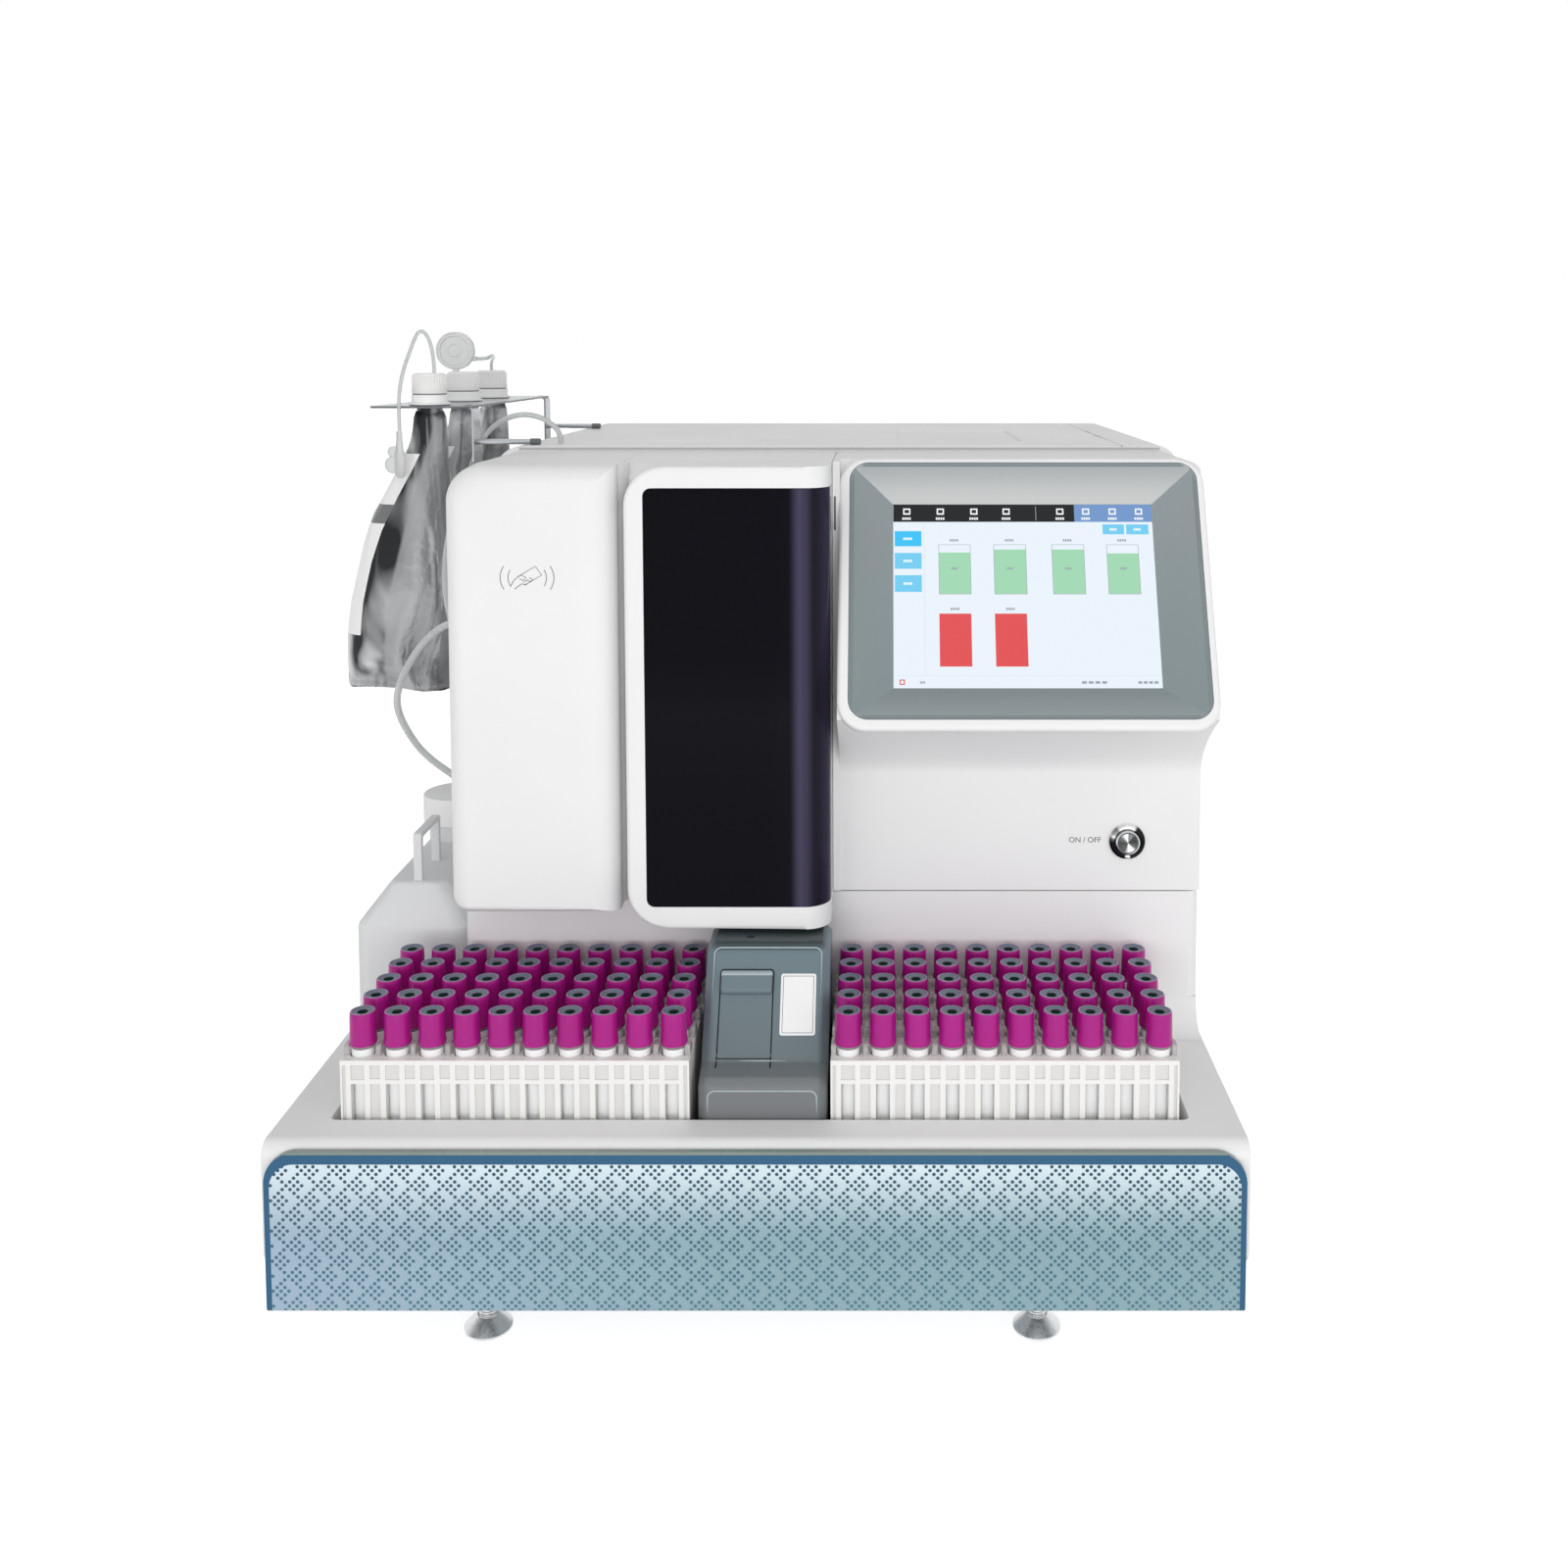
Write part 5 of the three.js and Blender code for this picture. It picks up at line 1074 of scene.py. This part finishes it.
def make_lettering():
    """The words beside the power button."""
    only()
    bpy.ops.object.text_add()
    words = bpy.context.object.data
    words.body = "ON / OFF"
    words.align_x, words.align_y = "CENTER", "CENTER"
    words.size, words.extrude = 5.0 * MM, 0.08 * MM
    bpy.ops.object.convert(target="MESH")
    return painted(placed(bpy.context.object, (200.7, BODY_FRONT - 0.02, BUTTON_Z + 0.6),
                          Matrix.Rotation(math.pi / 2, 4, "X")), print_grey)


# Bezel: a frame whose faces slope from its rim down to the screen
SCREEN_X, SCREEN_S, SCREEN_N = (34.5, 198.0), (26.6, 144.2), -3.0
BEZEL_X, BEZEL_S = (7.0, HEAD_WIDTH - 5), (7.0, HEAD_HEIGHT - 4)


def slope_painted_light(name, low_colour, high_colour, low, high):
    """Satin moulded plastic with painted light: it runs from one colour to another between two places up the
    head.
    """
    material, tree, shader = finish_of(name, low_colour, 0.34, Metallic=0.15)
    height = node(tree, "SeparateXYZ", grain(tree, shader, 0.4, 0.008)).outputs["Z"]
    ends = [spot(0, *head_point(place, 0)).z for place in (low, high)]
    share = node(tree, "MapRange", height, *ends, interpolation_type="SMOOTHSTEP")
    plug(node(tree, "Mix", share, linear(low_colour), linear(high_colour), data_type="RGBA"),
         shader.inputs["Base Color"])
    return material


def make_bezel():
    bezel = rounded("display_bezel", BEZEL_X, BEZEL_S, (-PLATE_THICKNESS, 0), 12, "z", 12)
    choose(bezel, "FACE", faces_up)
    bpy.ops.mesh.inset(thickness=1.0 * MM)
    bpy.ops.mesh.inset(thickness=0.2 * MM)
    bpy.ops.transform.translate(value=(0, 0, -0.15 * MM))
    (x0, x1), (s0, s1) = [(low - 0.2, high + 0.2) for low, high in (SCREEN_X, SCREEN_S)]
    funnel = block("funnel", (x0, x1), (s0, s1), (SCREEN_N, SCREEN_N + 0.1))
    choose(funnel, "FACE", faces_up)
    pull((0, 0, -SCREEN_N - 0.1))
    wide, tall = (limits[1] - limits[0] - 2.6 for limits in (BEZEL_X, BEZEL_S))
    bpy.ops.transform.resize(value=(wide / (x1 - x0), tall / (s1 - s0), 1))
    object_mode()
    mouth = [vertex.co for vertex in funnel.data.vertices if vertex.co.z > spot(0, 0, -0.1).z]
    offset = spot(sum(BEZEL_X) / 2, sum(BEZEL_S) / 2, 0) - sum(mouth, Vector()) / len(mouth)
    for place in mouth:
        place.xy += offset.xy
    bezel = tidy(carve(bezel, funnel, block("through", (x0, x1), (s0, s1), (-9, 1))), 12)
    # Each slope gets its own tone of the satin plastic, lightest on the upper slope: painted light and a painted
    # highlight
    top = slope_painted_light("satin bezel, upper slope with a painted highlight", "#C9CBCB", "#A9AEB0", s1, BEZEL_S[1])
    foot = slope_painted_light("satin bezel, lower slope with painted light", "#8A9497", "#798487", BEZEL_S[0], s0)
    side = slope_painted_light("satin bezel, side slopes with painted light", "#7F8C8E", "#8C9698", *BEZEL_S)
    rim = moulded("satin bezel rim", "#7B8689", "#747F82", 0.34, 0.4, 0.01)

    def slope(m, n):
        return n.z < 0.9999 and m.z > SCREEN_N - 0.05
    painted(bezel, rim, (top, lambda m, n: slope(m, n) and n.y < -0.02 and m.y > s1),
            (foot, lambda m, n: slope(m, n) and n.y > 0.02 and m.y < s0),
            (side, lambda m, n: slope(m, n) and abs(n.x) > 0.02 and abs(m.x - sum(BEZEL_X) / 2) > 60))
    # Light rods from the screen's top corners to the rim are painted highlights along the mitres
    mitres = [rod("mitre", [(inner, s1, -2.75), (outer, BEZEL_S[1] - 4.5, -0.25)], 0.9, mitre_highlight, 0.6)
              for inner, outer in ((x0, BEZEL_X[0] + 4.5), (x1, BEZEL_X[1] - 4.5))]
    return on_head(joined("display_bezel", [bezel, *mitres]))


settled(make_left_cover(), "cover_plastic", "left_cover")
settled(make_bay(), "cover_plastic", "bay_housing")
settled(make_door(), "cover_plastic", "front_door", body="door")
settled(make_door_window(), "window_acrylic", "door_window", body="door")
settled(make_lid(), "cover_plastic", "top_lid")
settled(make_rear_housing(), "cover_plastic", "rear_housing")
settled(make_lower_cover(), "cover_plastic", "lower_cover")
settled(make_right_cover(), "cover_plastic", "right_cover")
settled(make_bezel(), "bezel_plastic", "display_plate")


# Lit screen: flat tiles in their own light, behind the bezel
def lit(name, colour):
    """A patch of the display, which gives off its own colour and reflects like glass."""
    return finish_of(f"screen {name}", "#050505", 0.08, Emission_Strength=1.0, Emission_Color=linear(colour),
                     Specular_IOR_Level=0.25)[0]


def tile(u, v, level, material):
    """A tile between two shares of the screen's width and two of its height, counted down from the top."""
    x = [SCREEN_X[0] + share * (SCREEN_X[1] - SCREEN_X[0]) for share in u]
    s = [SCREEN_S[1] - share * (SCREEN_S[1] - SCREEN_S[0]) for share in reversed(v)]
    return painted(block("tile", x, s, (SCREEN_N, SCREEN_N + level * 0.04)), material)


def caption(u, v, material, width=0.035, level=3):
    """Four short strokes that stand for a caption too small to read."""
    starts = [u + (k - 2) * width / 4 for k in range(4)]
    return [tile((start, start + width / 5.5), (v, v + 0.013), level, material) for start in starts]


def make_screen():
    paper, black = lit("background", "#E9F2FA"), lit("black bar", "#14181C")
    blue, white = lit("blue bar", "#7297CA"), lit("white", "#FBFDFF")
    bright, pale = lit("bright button", "#3CC2F6"), lit("pale button", "#74CDF0")
    green, red = lit("green gauge", "#A2D8B4"), lit("red gauge", "#E25052")
    grey, line = lit("grey mark", "#9AA3AC"), lit("line", "#D3DEE8")
    panel = painted(block("touch_panel", SCREEN_X, SCREEN_S, (SCREEN_N - 1.2, SCREEN_N)), paper)
    tiles = [tile((0, 0.7), (0, 0.098), 1, black), tile((0.7, 1), (0, 0.098), 1, blue),
             tile((0.55, 0.5525), (0.01, 0.09), 2, grey), tile((0.117, 0.1185), (0.1, 0.935), 1, line),
             tile((0, 1), (0.935, 0.937), 1, line)]
    for u in (0.052, 0.182, 0.312, 0.437, 0.645, 0.745, 0.848, 0.95):
        tiles += [tile((u - 0.014, u + 0.014), (0.022, 0.057), 2, white),
                  tile((u - 0.009, u + 0.009), (0.03, 0.049), 3, black if u < 0.7 else blue),
                  *caption(u, 0.073, white)]
    for v0, v1, colour in ((0.15, 0.235, bright), (0.272, 0.36, pale), (0.395, 0.487, pale)):
        tiles += [tile((0.005, 0.108), (v0, v1), 1, colour), *caption(0.056, (v0 + v1) / 2 - 0.006, white)]
    for u0, u1 in ((0.807, 0.89), (0.898, 0.984)):
        tiles += [tile((u0, u1), (0.112, 0.168), 1, pale), *caption((u0 + u1) / 2, 0.134, white, 0.028)]
    for u0, u1, top in ((0.173, 0.296, 0.27), (0.384, 0.509, 0.253), (0.607, 0.732, 0.253),
                        (0.818, 0.941, 0.275)):
        inside, middle = (u0 + 0.002, u1 - 0.002), (u0 + u1) / 2
        tiles += [tile((u0, u1), (0.225, 0.5), 1, grey), tile(inside, (0.2275, 0.4975), 2, paper),
                  tile(inside, (top, 0.4975), 3, green), *caption(middle, 0.195, grey),
                  *caption(middle, 0.352, grey, 0.026, 4)]
    for u0, u1 in ((0.173, 0.294), (0.383, 0.504)):
        tiles += [tile((u0, u1), (0.605, 0.888), 1, red), *caption((u0 + u1) / 2, 0.573, grey)]
    tiles += [tile((0.022, 0.042), (0.956, 0.984), 1, red), tile((0.026, 0.038), (0.962, 0.978), 2, paper)]
    for u, width in ((0.108, 0.02), (0.75, 0.1), (0.95, 0.08)):
        tiles += caption(u, 0.965, grey, width)
    return on_head(joined("touch_display", [panel, *tiles]))


settled(make_screen(), "screen_glass", "touch_screen")

# Power button and feet
BUTTON_PLACE = (BUTTON_X, BODY_FRONT, BUTTON_Z)


def spun_metal_painted_reflection(name, roughness, stops):
    """Metal turned on a lathe, with a painted reflection: it shines in sectors about its axis, each stop an
    angle and a colour.
    """
    material, tree, shader = finish_of(name, stops[0][1], roughness, Metallic=1.0)
    where = node(tree, "TexCoord").outputs["Object"]
    centred = node(tree, "VectorMath", where, spot(*BUTTON_PLACE), operation="SUBTRACT")
    x, _, z = node(tree, "SeparateXYZ", centred).outputs
    angle = node(tree, "Math", z, x, operation="ARCTAN2")
    sectors = [(math.radians(degrees), colour) for degrees, colour in (*stops, (180, stops[0][1]))]
    plug(graded(tree, angle, sectors), shader.inputs["Base Color"])
    flat = node(tree, "VectorMath", centred, (1, 0, 1), operation="MULTIPLY")
    away = node(tree, "VectorMath", flat, operation="LENGTH")
    rings = node(tree, "TexNoise", away, 1 / (0.25 * MM), noise_dimensions="1D")
    plug(node(tree, "Bump", 0.5, 0.01 * MM, None, rings), shader.inputs["Normal"])
    return material


cap_painted_reflection = spun_metal_painted_reflection("spun stainless of the button with a painted reflection", 0.3, (
    (-180, "#48494A"), (-112, "#5C5E5F"), (-84, "#F2F2F2"), (-52, "#E6E6E6"), (-34, "#6A6B6C"),
    (10, "#3C3D3E"), (48, "#4A4B4C"), (66, "#8A8B8C"), (82, "#6E6F70"), (98, "#F6F6F6"), (118, "#D9D9D9"),
    (140, "#6C6D6E")))
ring_painted_reflection = spun_metal_painted_reflection("polished chrome of the button's ring", 0.2, (
    (-180, "#17181A"), (-102, "#202122"), (-96, "#E8E8E8"), (-84, "#F0F0F0"), (-78, "#242526"), (0, "#141516"),
    (54, "#2A2B2C"), (64, "#E9E9E9"), (92, "#FAFAFA"), (122, "#DADBDB"), (130, "#7C7D7E"), (150, "#9A9B9C"),
    (158, "#E4E4E4"), (168, "#5A5B5C")))


def make_button_ring():
    ring = turned("button_ring", [(9.2, -19), (9.2, 0.3), (11.5, 0.35), (11.6, 0.9), (11.3, 1.9), (10.6, 2.6),
                                  (9.6, 2.9), (8.6, 2.7), (8.3, 2.3)], BUTTON_PLACE, 64, "Y")
    bore = turned("bore", [(8.2, -25), (8.2, 9)], BUTTON_PLACE, 64, "Y")
    return painted(tidy(carve(ring, bore), 30), ring_painted_reflection)


def make_button_cap():
    cap = turned("button_cap", [(7.9, -11.4), (7.9, 3.6), (7.7, 4.2), (7.2, 4.55), (6.9, 4.6), (6.6, 4.2),
                                (6.3, 4.2), (6.1, 4.55), (0.2, 4.6)], BUTTON_PLACE, 64, "Y")

    def away(m):
        return math.hypot(m.x - BUTTON_X, m.z - BUTTON_Z)
    # The groove round the cap's face and the part of the cap inside the ring are dark grey: painted shade
    return painted(cap, chrome, (cap_painted_reflection, lambda m, n: away(m) < 5.6),
                   (dark_vinyl_and_shade, lambda m, n: 6.2 < away(m) < 6.8 or m.y > BODY_FRONT - 3.7))


def make_foot(name, x, y):
    pad = turned(name, [(13.4, 0), (14, 0.5), (14, 2), (13.2, 2.8), (7, 8.4), (6.2, 9.2), (5, 9.4),
                        (5, 57.4)],
                 (x, y, 0), 48)
    nut = soften(turned("nut", [(8, 38), (8, 45)], (x, y, 0), 6), 0.6)
    threads = [turned("thread", [(4.9, z), (5.35, z + 0.55), (4.9, z + 1.1)], (x, y, 0), 32)
               for z in (10 + 1.5 * k for k in range(18))]
    return painted(joined(name, [pad, nut, *threads]), foot_metal)


settled(make_button_ring(), "chrome", "power_button_ring")
settled(make_button_cap(), "chrome", "power_button", body="button")
for row_name, foot_y in (("front", -2.0), ("rear", 500.0)):
    for side_name, foot_x in (("left", -160.5), ("right", 160.5)):
        foot = make_foot(f"levelling_foot_{row_name}_{side_name}", foot_x, foot_y)
        settled(foot, "chrome", f"foot_{row_name}_{side_name}")

# Bag bracket: a shelf with three holes, two drop arms and two rods in vinyl sleeves
SHELF_X, SHELF_Y, SHELF_Z = (-283.0, -214.0), (186.0, 441.0), (531.5, 533.0)
BAG_COUNT, BAG_X, BAG_FIRST, BAG_PITCH = 3, -245.0, 202.0, 83.5
ARM_LOW, ARM_HALF, ARM_BEND, ROD_Z = 492.0, 9.0, 4.5, 507.4


def make_bracket():
    shelf = rounded("bag_shelf", SHELF_X, SHELF_Y, SHELF_Z, 6, "z")
    carve(shelf, *[turned("hole", [(9, 525), (9, 540)], (BAG_X, BAG_FIRST + BAG_PITCH * k, 0), 36)
                   for k in range(BAG_COUNT)])
    pieces = [painted(soften(tidy(shelf), 0.25), steel, (dark_vinyl_and_shade, lambda m, n: abs(n.z) < 0.5))]
    outer, top = SHELF_X[1], SHELF_Z[1]
    bend = (outer - ARM_BEND, top - ARM_BEND)
    strip = [(outer - 8, top), *arc(bend, ARM_BEND, 90, 0, 8), (outer, ARM_LOW), (outer - 1.5, ARM_LOW),
             *arc(bend, ARM_BEND - 1.5, 0, 90, 8), (outer - 8, SHELF_Z[0])]
    for y in (208.0, 432.0):
        arm = prism("arm", [(x, y - ARM_HALF, z) for x, z in strip], (0, ARM_HALF * 2, 0))
        round_edges(arm, 3, along("x", lambda m: m.z < 495), 5)
        bar = turned("rod", [(2, 0), (2, 44)], (outer - 2, y, ROD_Z), 20, "X")
        sleeve = turned("sleeve", [(2.05, 0), (2.3, 0.3), (2.3, 6.6), (1.8, 7.2)], (outer + 37.2, y, ROD_Z),
                        20, "X")
        pieces += [painted(soften(arm, 0.25), steel), painted(bar, steel), painted(sleeve, dark_vinyl_and_shade)]
    return joined("bag_shelf", pieces)


settled(make_bracket(), "steel", "bag_bracket")

# Reagent bags: laminated foil that sags below its neck, with a paper strip along one edge
BAG_FOOT, BAG_NECK = 333.0, 517.5
BAG_EDGE = ((333, -308), (370, -306.5), (398, -303), (425, -296.5), (447, -289), (470, -278.5), (490, -267.5),
            (505, -260), (518, -255.5))
BAG_RIDGE = ((333, -280), (405, -269), (482, -250), (528, -237))
BAG_RINGS = ((0, -24, 36, 1.0), (0.012, -24, 36.5, 1.4), (0.035, -25, 38, 2.2), (0.1, -24.6, 38.5, 14),
             (0.2, -23, 38.5, 19.5), (0.35, -20, 38, 22), (0.5, -16.5, 35, 21.5), (0.62, -13, 31, 20),
             (0.74, -9, 24.5, 17), (0.85, -5, 17.5, 14), (0.93, -2, 13, 12), (1, 0, 10.5, 9.5),
             (1.075, 0, 9.6, 9.2))


def past_line(tree, x, height, places):
    """How far X lies right of a line that climbs through places, each a height and an X in millimetres."""
    least, most = (limit(place for _, place in places) for limit in (min, max))
    shares = [(level, (place - least) / (most - least)) for level, place in places]
    tone = graded(tree, height, [(level * MM, (share, share, share, 1)) for level, share in shares])
    line = node(tree, "MapRange", tone, 0.0, 1.0, spot(least, 0, 0).x, spot(most, 0, 0).x)
    return node(tree, "Math", x, line, operation="SUBTRACT")


def all_of(tree, *parts):
    whole = parts[0]
    for part in parts[1:]:
        whole = node(tree, "Math", whole, part, operation="MULTIPLY")
    return whole


def between(tree, height, low, high):
    """1 between two heights in millimetres, else 0."""
    return all_of(tree, node(tree, "Math", height, low * MM, operation="GREATER_THAN"),
                  node(tree, "Math", height, high * MM, operation="LESS_THAN"))


def foil():
    """Silver laminate in folds, with painted reflections: light and dark patches on the crumpled side, a flat
    side painted as lit, and a paper strip with a grey band.
    """
    material, tree, shader = finish_of("creased laminated foil with painted reflections", "#A9ABAE", 0.3)
    where = node(tree, "TexCoord").outputs["Object"]
    stretched = node(tree, "Mapping", where, None, None, (1, 1, 0.22))
    folds = node(tree, "TexNoise", stretched, 1 / (26 * MM), 2.5, None, None, 0.8)
    wrinkles = node(tree, "TexNoise", where, 1 / (6 * MM), 3.0)
    height = node(tree, "Mix", 0.12, folds, wrinkles, data_type="FLOAT")
    plug(node(tree, "Bump", 0.9, 5 * MM, None, height), shader.inputs["Normal"])
    x, y, z = node(tree, "SeparateXYZ", where).outputs
    from_back = node(tree, "Math", y, spot(0, BAG_FIRST - BAG_PITCH / 2, 0).y, operation="SUBTRACT")
    within = node(tree, "Math", from_back, BAG_PITCH * MM, operation="FLOORED_MODULO")
    front = node(tree, "Math", within, BAG_PITCH / 2 * MM, operation="LESS_THAN")
    crumple = node(tree, "MapRange", folds, 0.4, 0.6)
    flat_side = node(tree, "MapRange", past_line(tree, x, z, BAG_RIDGE), -1.5 * MM, 1.5 * MM, 0.0, 0.8,
                     interpolation_type="SMOOTHSTEP")
    edge = node(tree, "Math", past_line(tree, x, z, BAG_EDGE), 14 * MM, operation="LESS_THAN")
    strip = all_of(tree, front, edge, between(tree, z, 374, 500))
    band = all_of(tree, strip, between(tree, z, 452, 465))
    # Over the dark base: the light crumples and the flat side are painted reflections, the strip and its band
    # are paper and print
    colour = linear("#2C2D2F")
    for factor, other in ((crumple, "#C6C8CA"), (all_of(tree, flat_side, front), "#999B9D"),
                          (strip, "#F4F4F4"), (band, "#6E7072")):
        colour = node(tree, "Mix", factor, colour, linear(other), data_type="RGBA")
    plug(colour, shader.inputs["Base Color"])
    plug(node(tree, "MapRange", strip, 0.0, 1.0, 0.85, 0.0), shader.inputs["Metallic"])
    return material


foil_skin = foil()


def make_bag(name, y):
    rise = BAG_NECK - BAG_FOOT
    bag = stacked(name, [(BAG_FOOT + ring[0] * rise, *ring[1:]) for ring in BAG_RINGS], 48)
    modify(tidy(placed(bag, (BAG_X, y, 0)), 50), "SUBSURF", levels=1)
    creases = bpy.data.textures.new("creases", "CLOUDS")
    creases.noise_scale = 0.034
    place = added("crease_place", None)
    place.location = spot(BAG_X + 7 * (y - BAG_FIRST) / BAG_PITCH, y, 300)
    place.scale = (1, 1, 2.6)
    bpy.context.view_layer.update()
    modify(bag, "DISPLACE", texture=creases, strength=8 * MM, mid_level=0.55, texture_coords="OBJECT",
           texture_coords_object=place)
    bpy.data.objects.remove(place)
    neck = turned("neck", [(8.7, BAG_NECK - 6), (8.7, SHELF_Z[1] - 0.1)], (BAG_X, y, 0), 36)
    return painted(joined(name, [bag, neck]), foil_skin)


RIB_COUNT = 36


def make_cap(name, y):
    foot = SHELF_Z[1] + GAP
    cap = turned(name, [(13.8, 0), (14.2, 0.4), (14.2, 1.4), (12.4, 2.2), (12.3, 7), (11.6, 7.3), (11.6, 8.1),
                        (11.9, 8.4), (11.1, 20.6), (10.5, 21.6), (9.4, 22)], (BAG_X, y, foot), 64)
    # The groove and the foot of the cap are painted dark grey, and its wall between the ribs a darker white:
    # painted shade
    painted(cap, cap_white, (dark_vinyl_and_shade, lambda m, n: foot + 7.25 < m.z < foot + 8.15 or m.z < foot + 0.45),
            (cap_groove_shade, lambda m, n: foot + 8.4 < m.z < foot + 21 and abs(n.z) < 0.5))
    rib = rounded("rib", (BAG_X + 10.8, BAG_X + 11.75), (y - 0.35, y + 0.35), (foot + 8.8, foot + 20.4),
                  0.3, "z", 2, lambda m: m.x > BAG_X + 11.7)
    axis = Matrix.Translation(spot(BAG_X, y, 0))
    ribs = []
    for k in range(RIB_COUNT):
        twin = copied(rib, "rib")
        twin.data.transform(axis @ Matrix.Rotation(math.tau * k / RIB_COUNT, 4, "Z") @ axis.inverted())
        ribs.append(twin)
    bpy.data.objects.remove(rib)
    return joined(name, [cap, painted(joined("ribs", ribs), cap_white)])


for number in range(BAG_COUNT):
    bag_y = BAG_FIRST + BAG_PITCH * number
    settled(make_bag(f"foil_bag_{number + 1}", bag_y), "bag_foil", f"reagent_bag_{number + 1}")
    settled(make_cap(f"ribbed_cap_{number + 1}", bag_y), "cap_plastic", f"bag_cap_{number + 1}")

# Waste bottle: blown natural polyethylene with a faceted crown and a bail handle
BOTTLE_X, BOTTLE_Y, BOTTLE_SHOULDER, BOTTLE_CROWN = (-280.0, -204.0), (125.0, 290.0), 190.0, 216.0
BOTTLE_NECK = (sum(BOTTLE_X) / 2, BOTTLE_Y[1] - 47)


def bottle_solid(inset):
    x, y = ((low + inset, high - inset) for low, high in (BOTTLE_X, BOTTLE_Y))
    bottle = rounded("waste_bottle_shell", x, y, (inset, BOTTLE_SHOULDER - inset), 12 - inset, "z", 8)
    round_edges(bottle, 5, lambda m, d: m.z < inset + 0.1, 4)
    choose(bottle, "FACE", faces_up)
    pull((0, 0, BOTTLE_CROWN - BOTTLE_SHOULDER))
    wide, deep = x[1] - x[0], y[1] - y[0]
    bpy.ops.transform.resize(value=((wide - 40) / wide, (deep - 28) / deep, 1),
                             center_override=spot(sum(x) / 2, sum(y) / 2, BOTTLE_CROWN))
    object_mode()
    return round_edges(bottle, 2, lambda m, d: m.z > BOTTLE_SHOULDER - 2 - inset and abs(d.z) < 0.1
                       or m.z > BOTTLE_SHOULDER + 5, 3)


def make_bottle():
    neck = (*BOTTLE_NECK, 0)
    bottle = weld(bottle_solid(0), turned("neck", [(21, 210), (21, 227.7)], neck, 48))
    carve(bottle, bottle_solid(2), turned("bore", [(18, 200), (18, 235)], neck, 40))
    x, y0, y1 = BOTTLE_NECK[0], BOTTLE_Y[0] + 18, BOTTLE_Y[0] + 62
    foot, top = BOTTLE_CROWN - 1.5, BOTTLE_CROWN + 32
    handle = rounded("handle", (x - 2.9, x + 2.9), (y0, y1), (foot, top), 3, "x", 6, lambda m: m.z > top - 1)
    opening = rounded("opening", (x - 12, x + 12), (y0 + 4.4, y1 - 4.4), (foot - PAST, top - 3.6), 2, "x", 5,
                      lambda m: m.z > top - 10)
    weld(bottle, soften(tidy(carve(handle, opening)), 0.8, 3, 60))
    milky = clear_plastic("natural polyethylene of the bottle", "#EEF0F1", 0.5, 0.12)
    return painted(tidy(bottle, 30), milky)


def make_bottle_cap():
    cap = turned("waste_screw_cap", [(24.6, 0), (25, 0.5), (25, 18.6), (24.4, 19.6), (23.2, 20), (5, 20)],
                 (*BOTTLE_NECK, 228), 64)
    return painted(cap, cap_white)


settled(make_bottle(), "bottle_plastic", "waste_bottle")
settled(make_bottle_cap(), "cap_plastic", "waste_cap")

# Pieces that only show when the door is open, or from below
cast_metal = metal("machined aluminium", "#9A9EA2", 0.4, size=1.2)
for node_name in ("needle_unit", "elution_pump", "column_oven"):
    painted(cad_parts[node_name], cast_metal)
for node_name in ("base_plate", "door_hinge_rod"):
    painted(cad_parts[node_name], zinc)


# Room: camera, glossy and transmitted rays see plain white, all others a studio that is brightest in front
def sees_backdrop(tree):
    """1 for the rays that see the backdrop itself, 0 for those that only carry its light."""
    rays = node(tree, "LightPath").outputs
    direct = node(tree, "Math", rays["Is Camera Ray"], rays["Is Glossy Ray"], operation="MAXIMUM")
    return node(tree, "Math", direct, rays["Is Transmission Ray"], operation="MAXIMUM")


def make_room():
    world = bpy.data.worlds.new("studio")
    bpy.context.scene.world = world
    world.use_nodes = True
    tree = world.node_tree
    tree.nodes.clear()
    axes = node(tree, "SeparateXYZ", node(tree, "TexCoord").outputs["Generated"]).outputs
    front = node(tree, "MapRange", axes["Y"], 0.3, -0.9, 0.42, 0.86)
    white = (1, 1, 1, 1)
    light, plain = node(tree, "Background", white, front), node(tree, "Background", white, 1.0)
    node(tree, "OutputWorld", node(tree, "MixShader", sees_backdrop(tree), light, plain))


def make_lamp(name, place, target, size, watts):
    lamp = bpy.data.lights.new(name, "AREA")
    lamp.shape = "RECTANGLE"
    lamp.size, lamp.size_y = size
    lamp.energy = watts
    made = added(name, lamp)
    made.location = spot(*place)
    made.rotation_euler = (Vector(target) - Vector(place)).to_track_quat("-Z", "Y").to_euler()
    made.visible_glossy = False


def make_floor():
    only()
    bpy.ops.mesh.primitive_plane_add(size=40, location=spot(0, 500, -0.3))
    floor = named("bench")
    material, tree, shader = finish_of("white bench paper", "#F6F6F6", 0.9, Emission_Color=(1, 1, 1, 1))
    glow = node(tree, "Math", sees_backdrop(tree), 0.62, operation="MULTIPLY")
    plug(glow, shader.inputs["Emission Strength"])
    painted(floor, material)


make_room()
make_floor()
make_lamp("front softbox", (-90, -1700, 520), (30, 100, 260), (1.2, 0.9), 3.0)
make_lamp("low fill", (40, -1500, 330), (40, 100, 230), (1.6, 0.5), 5.2)
make_lamp("right strip", (1100, -700, 700), (100, 100, 300), (0.35, 1.4), 1.5)

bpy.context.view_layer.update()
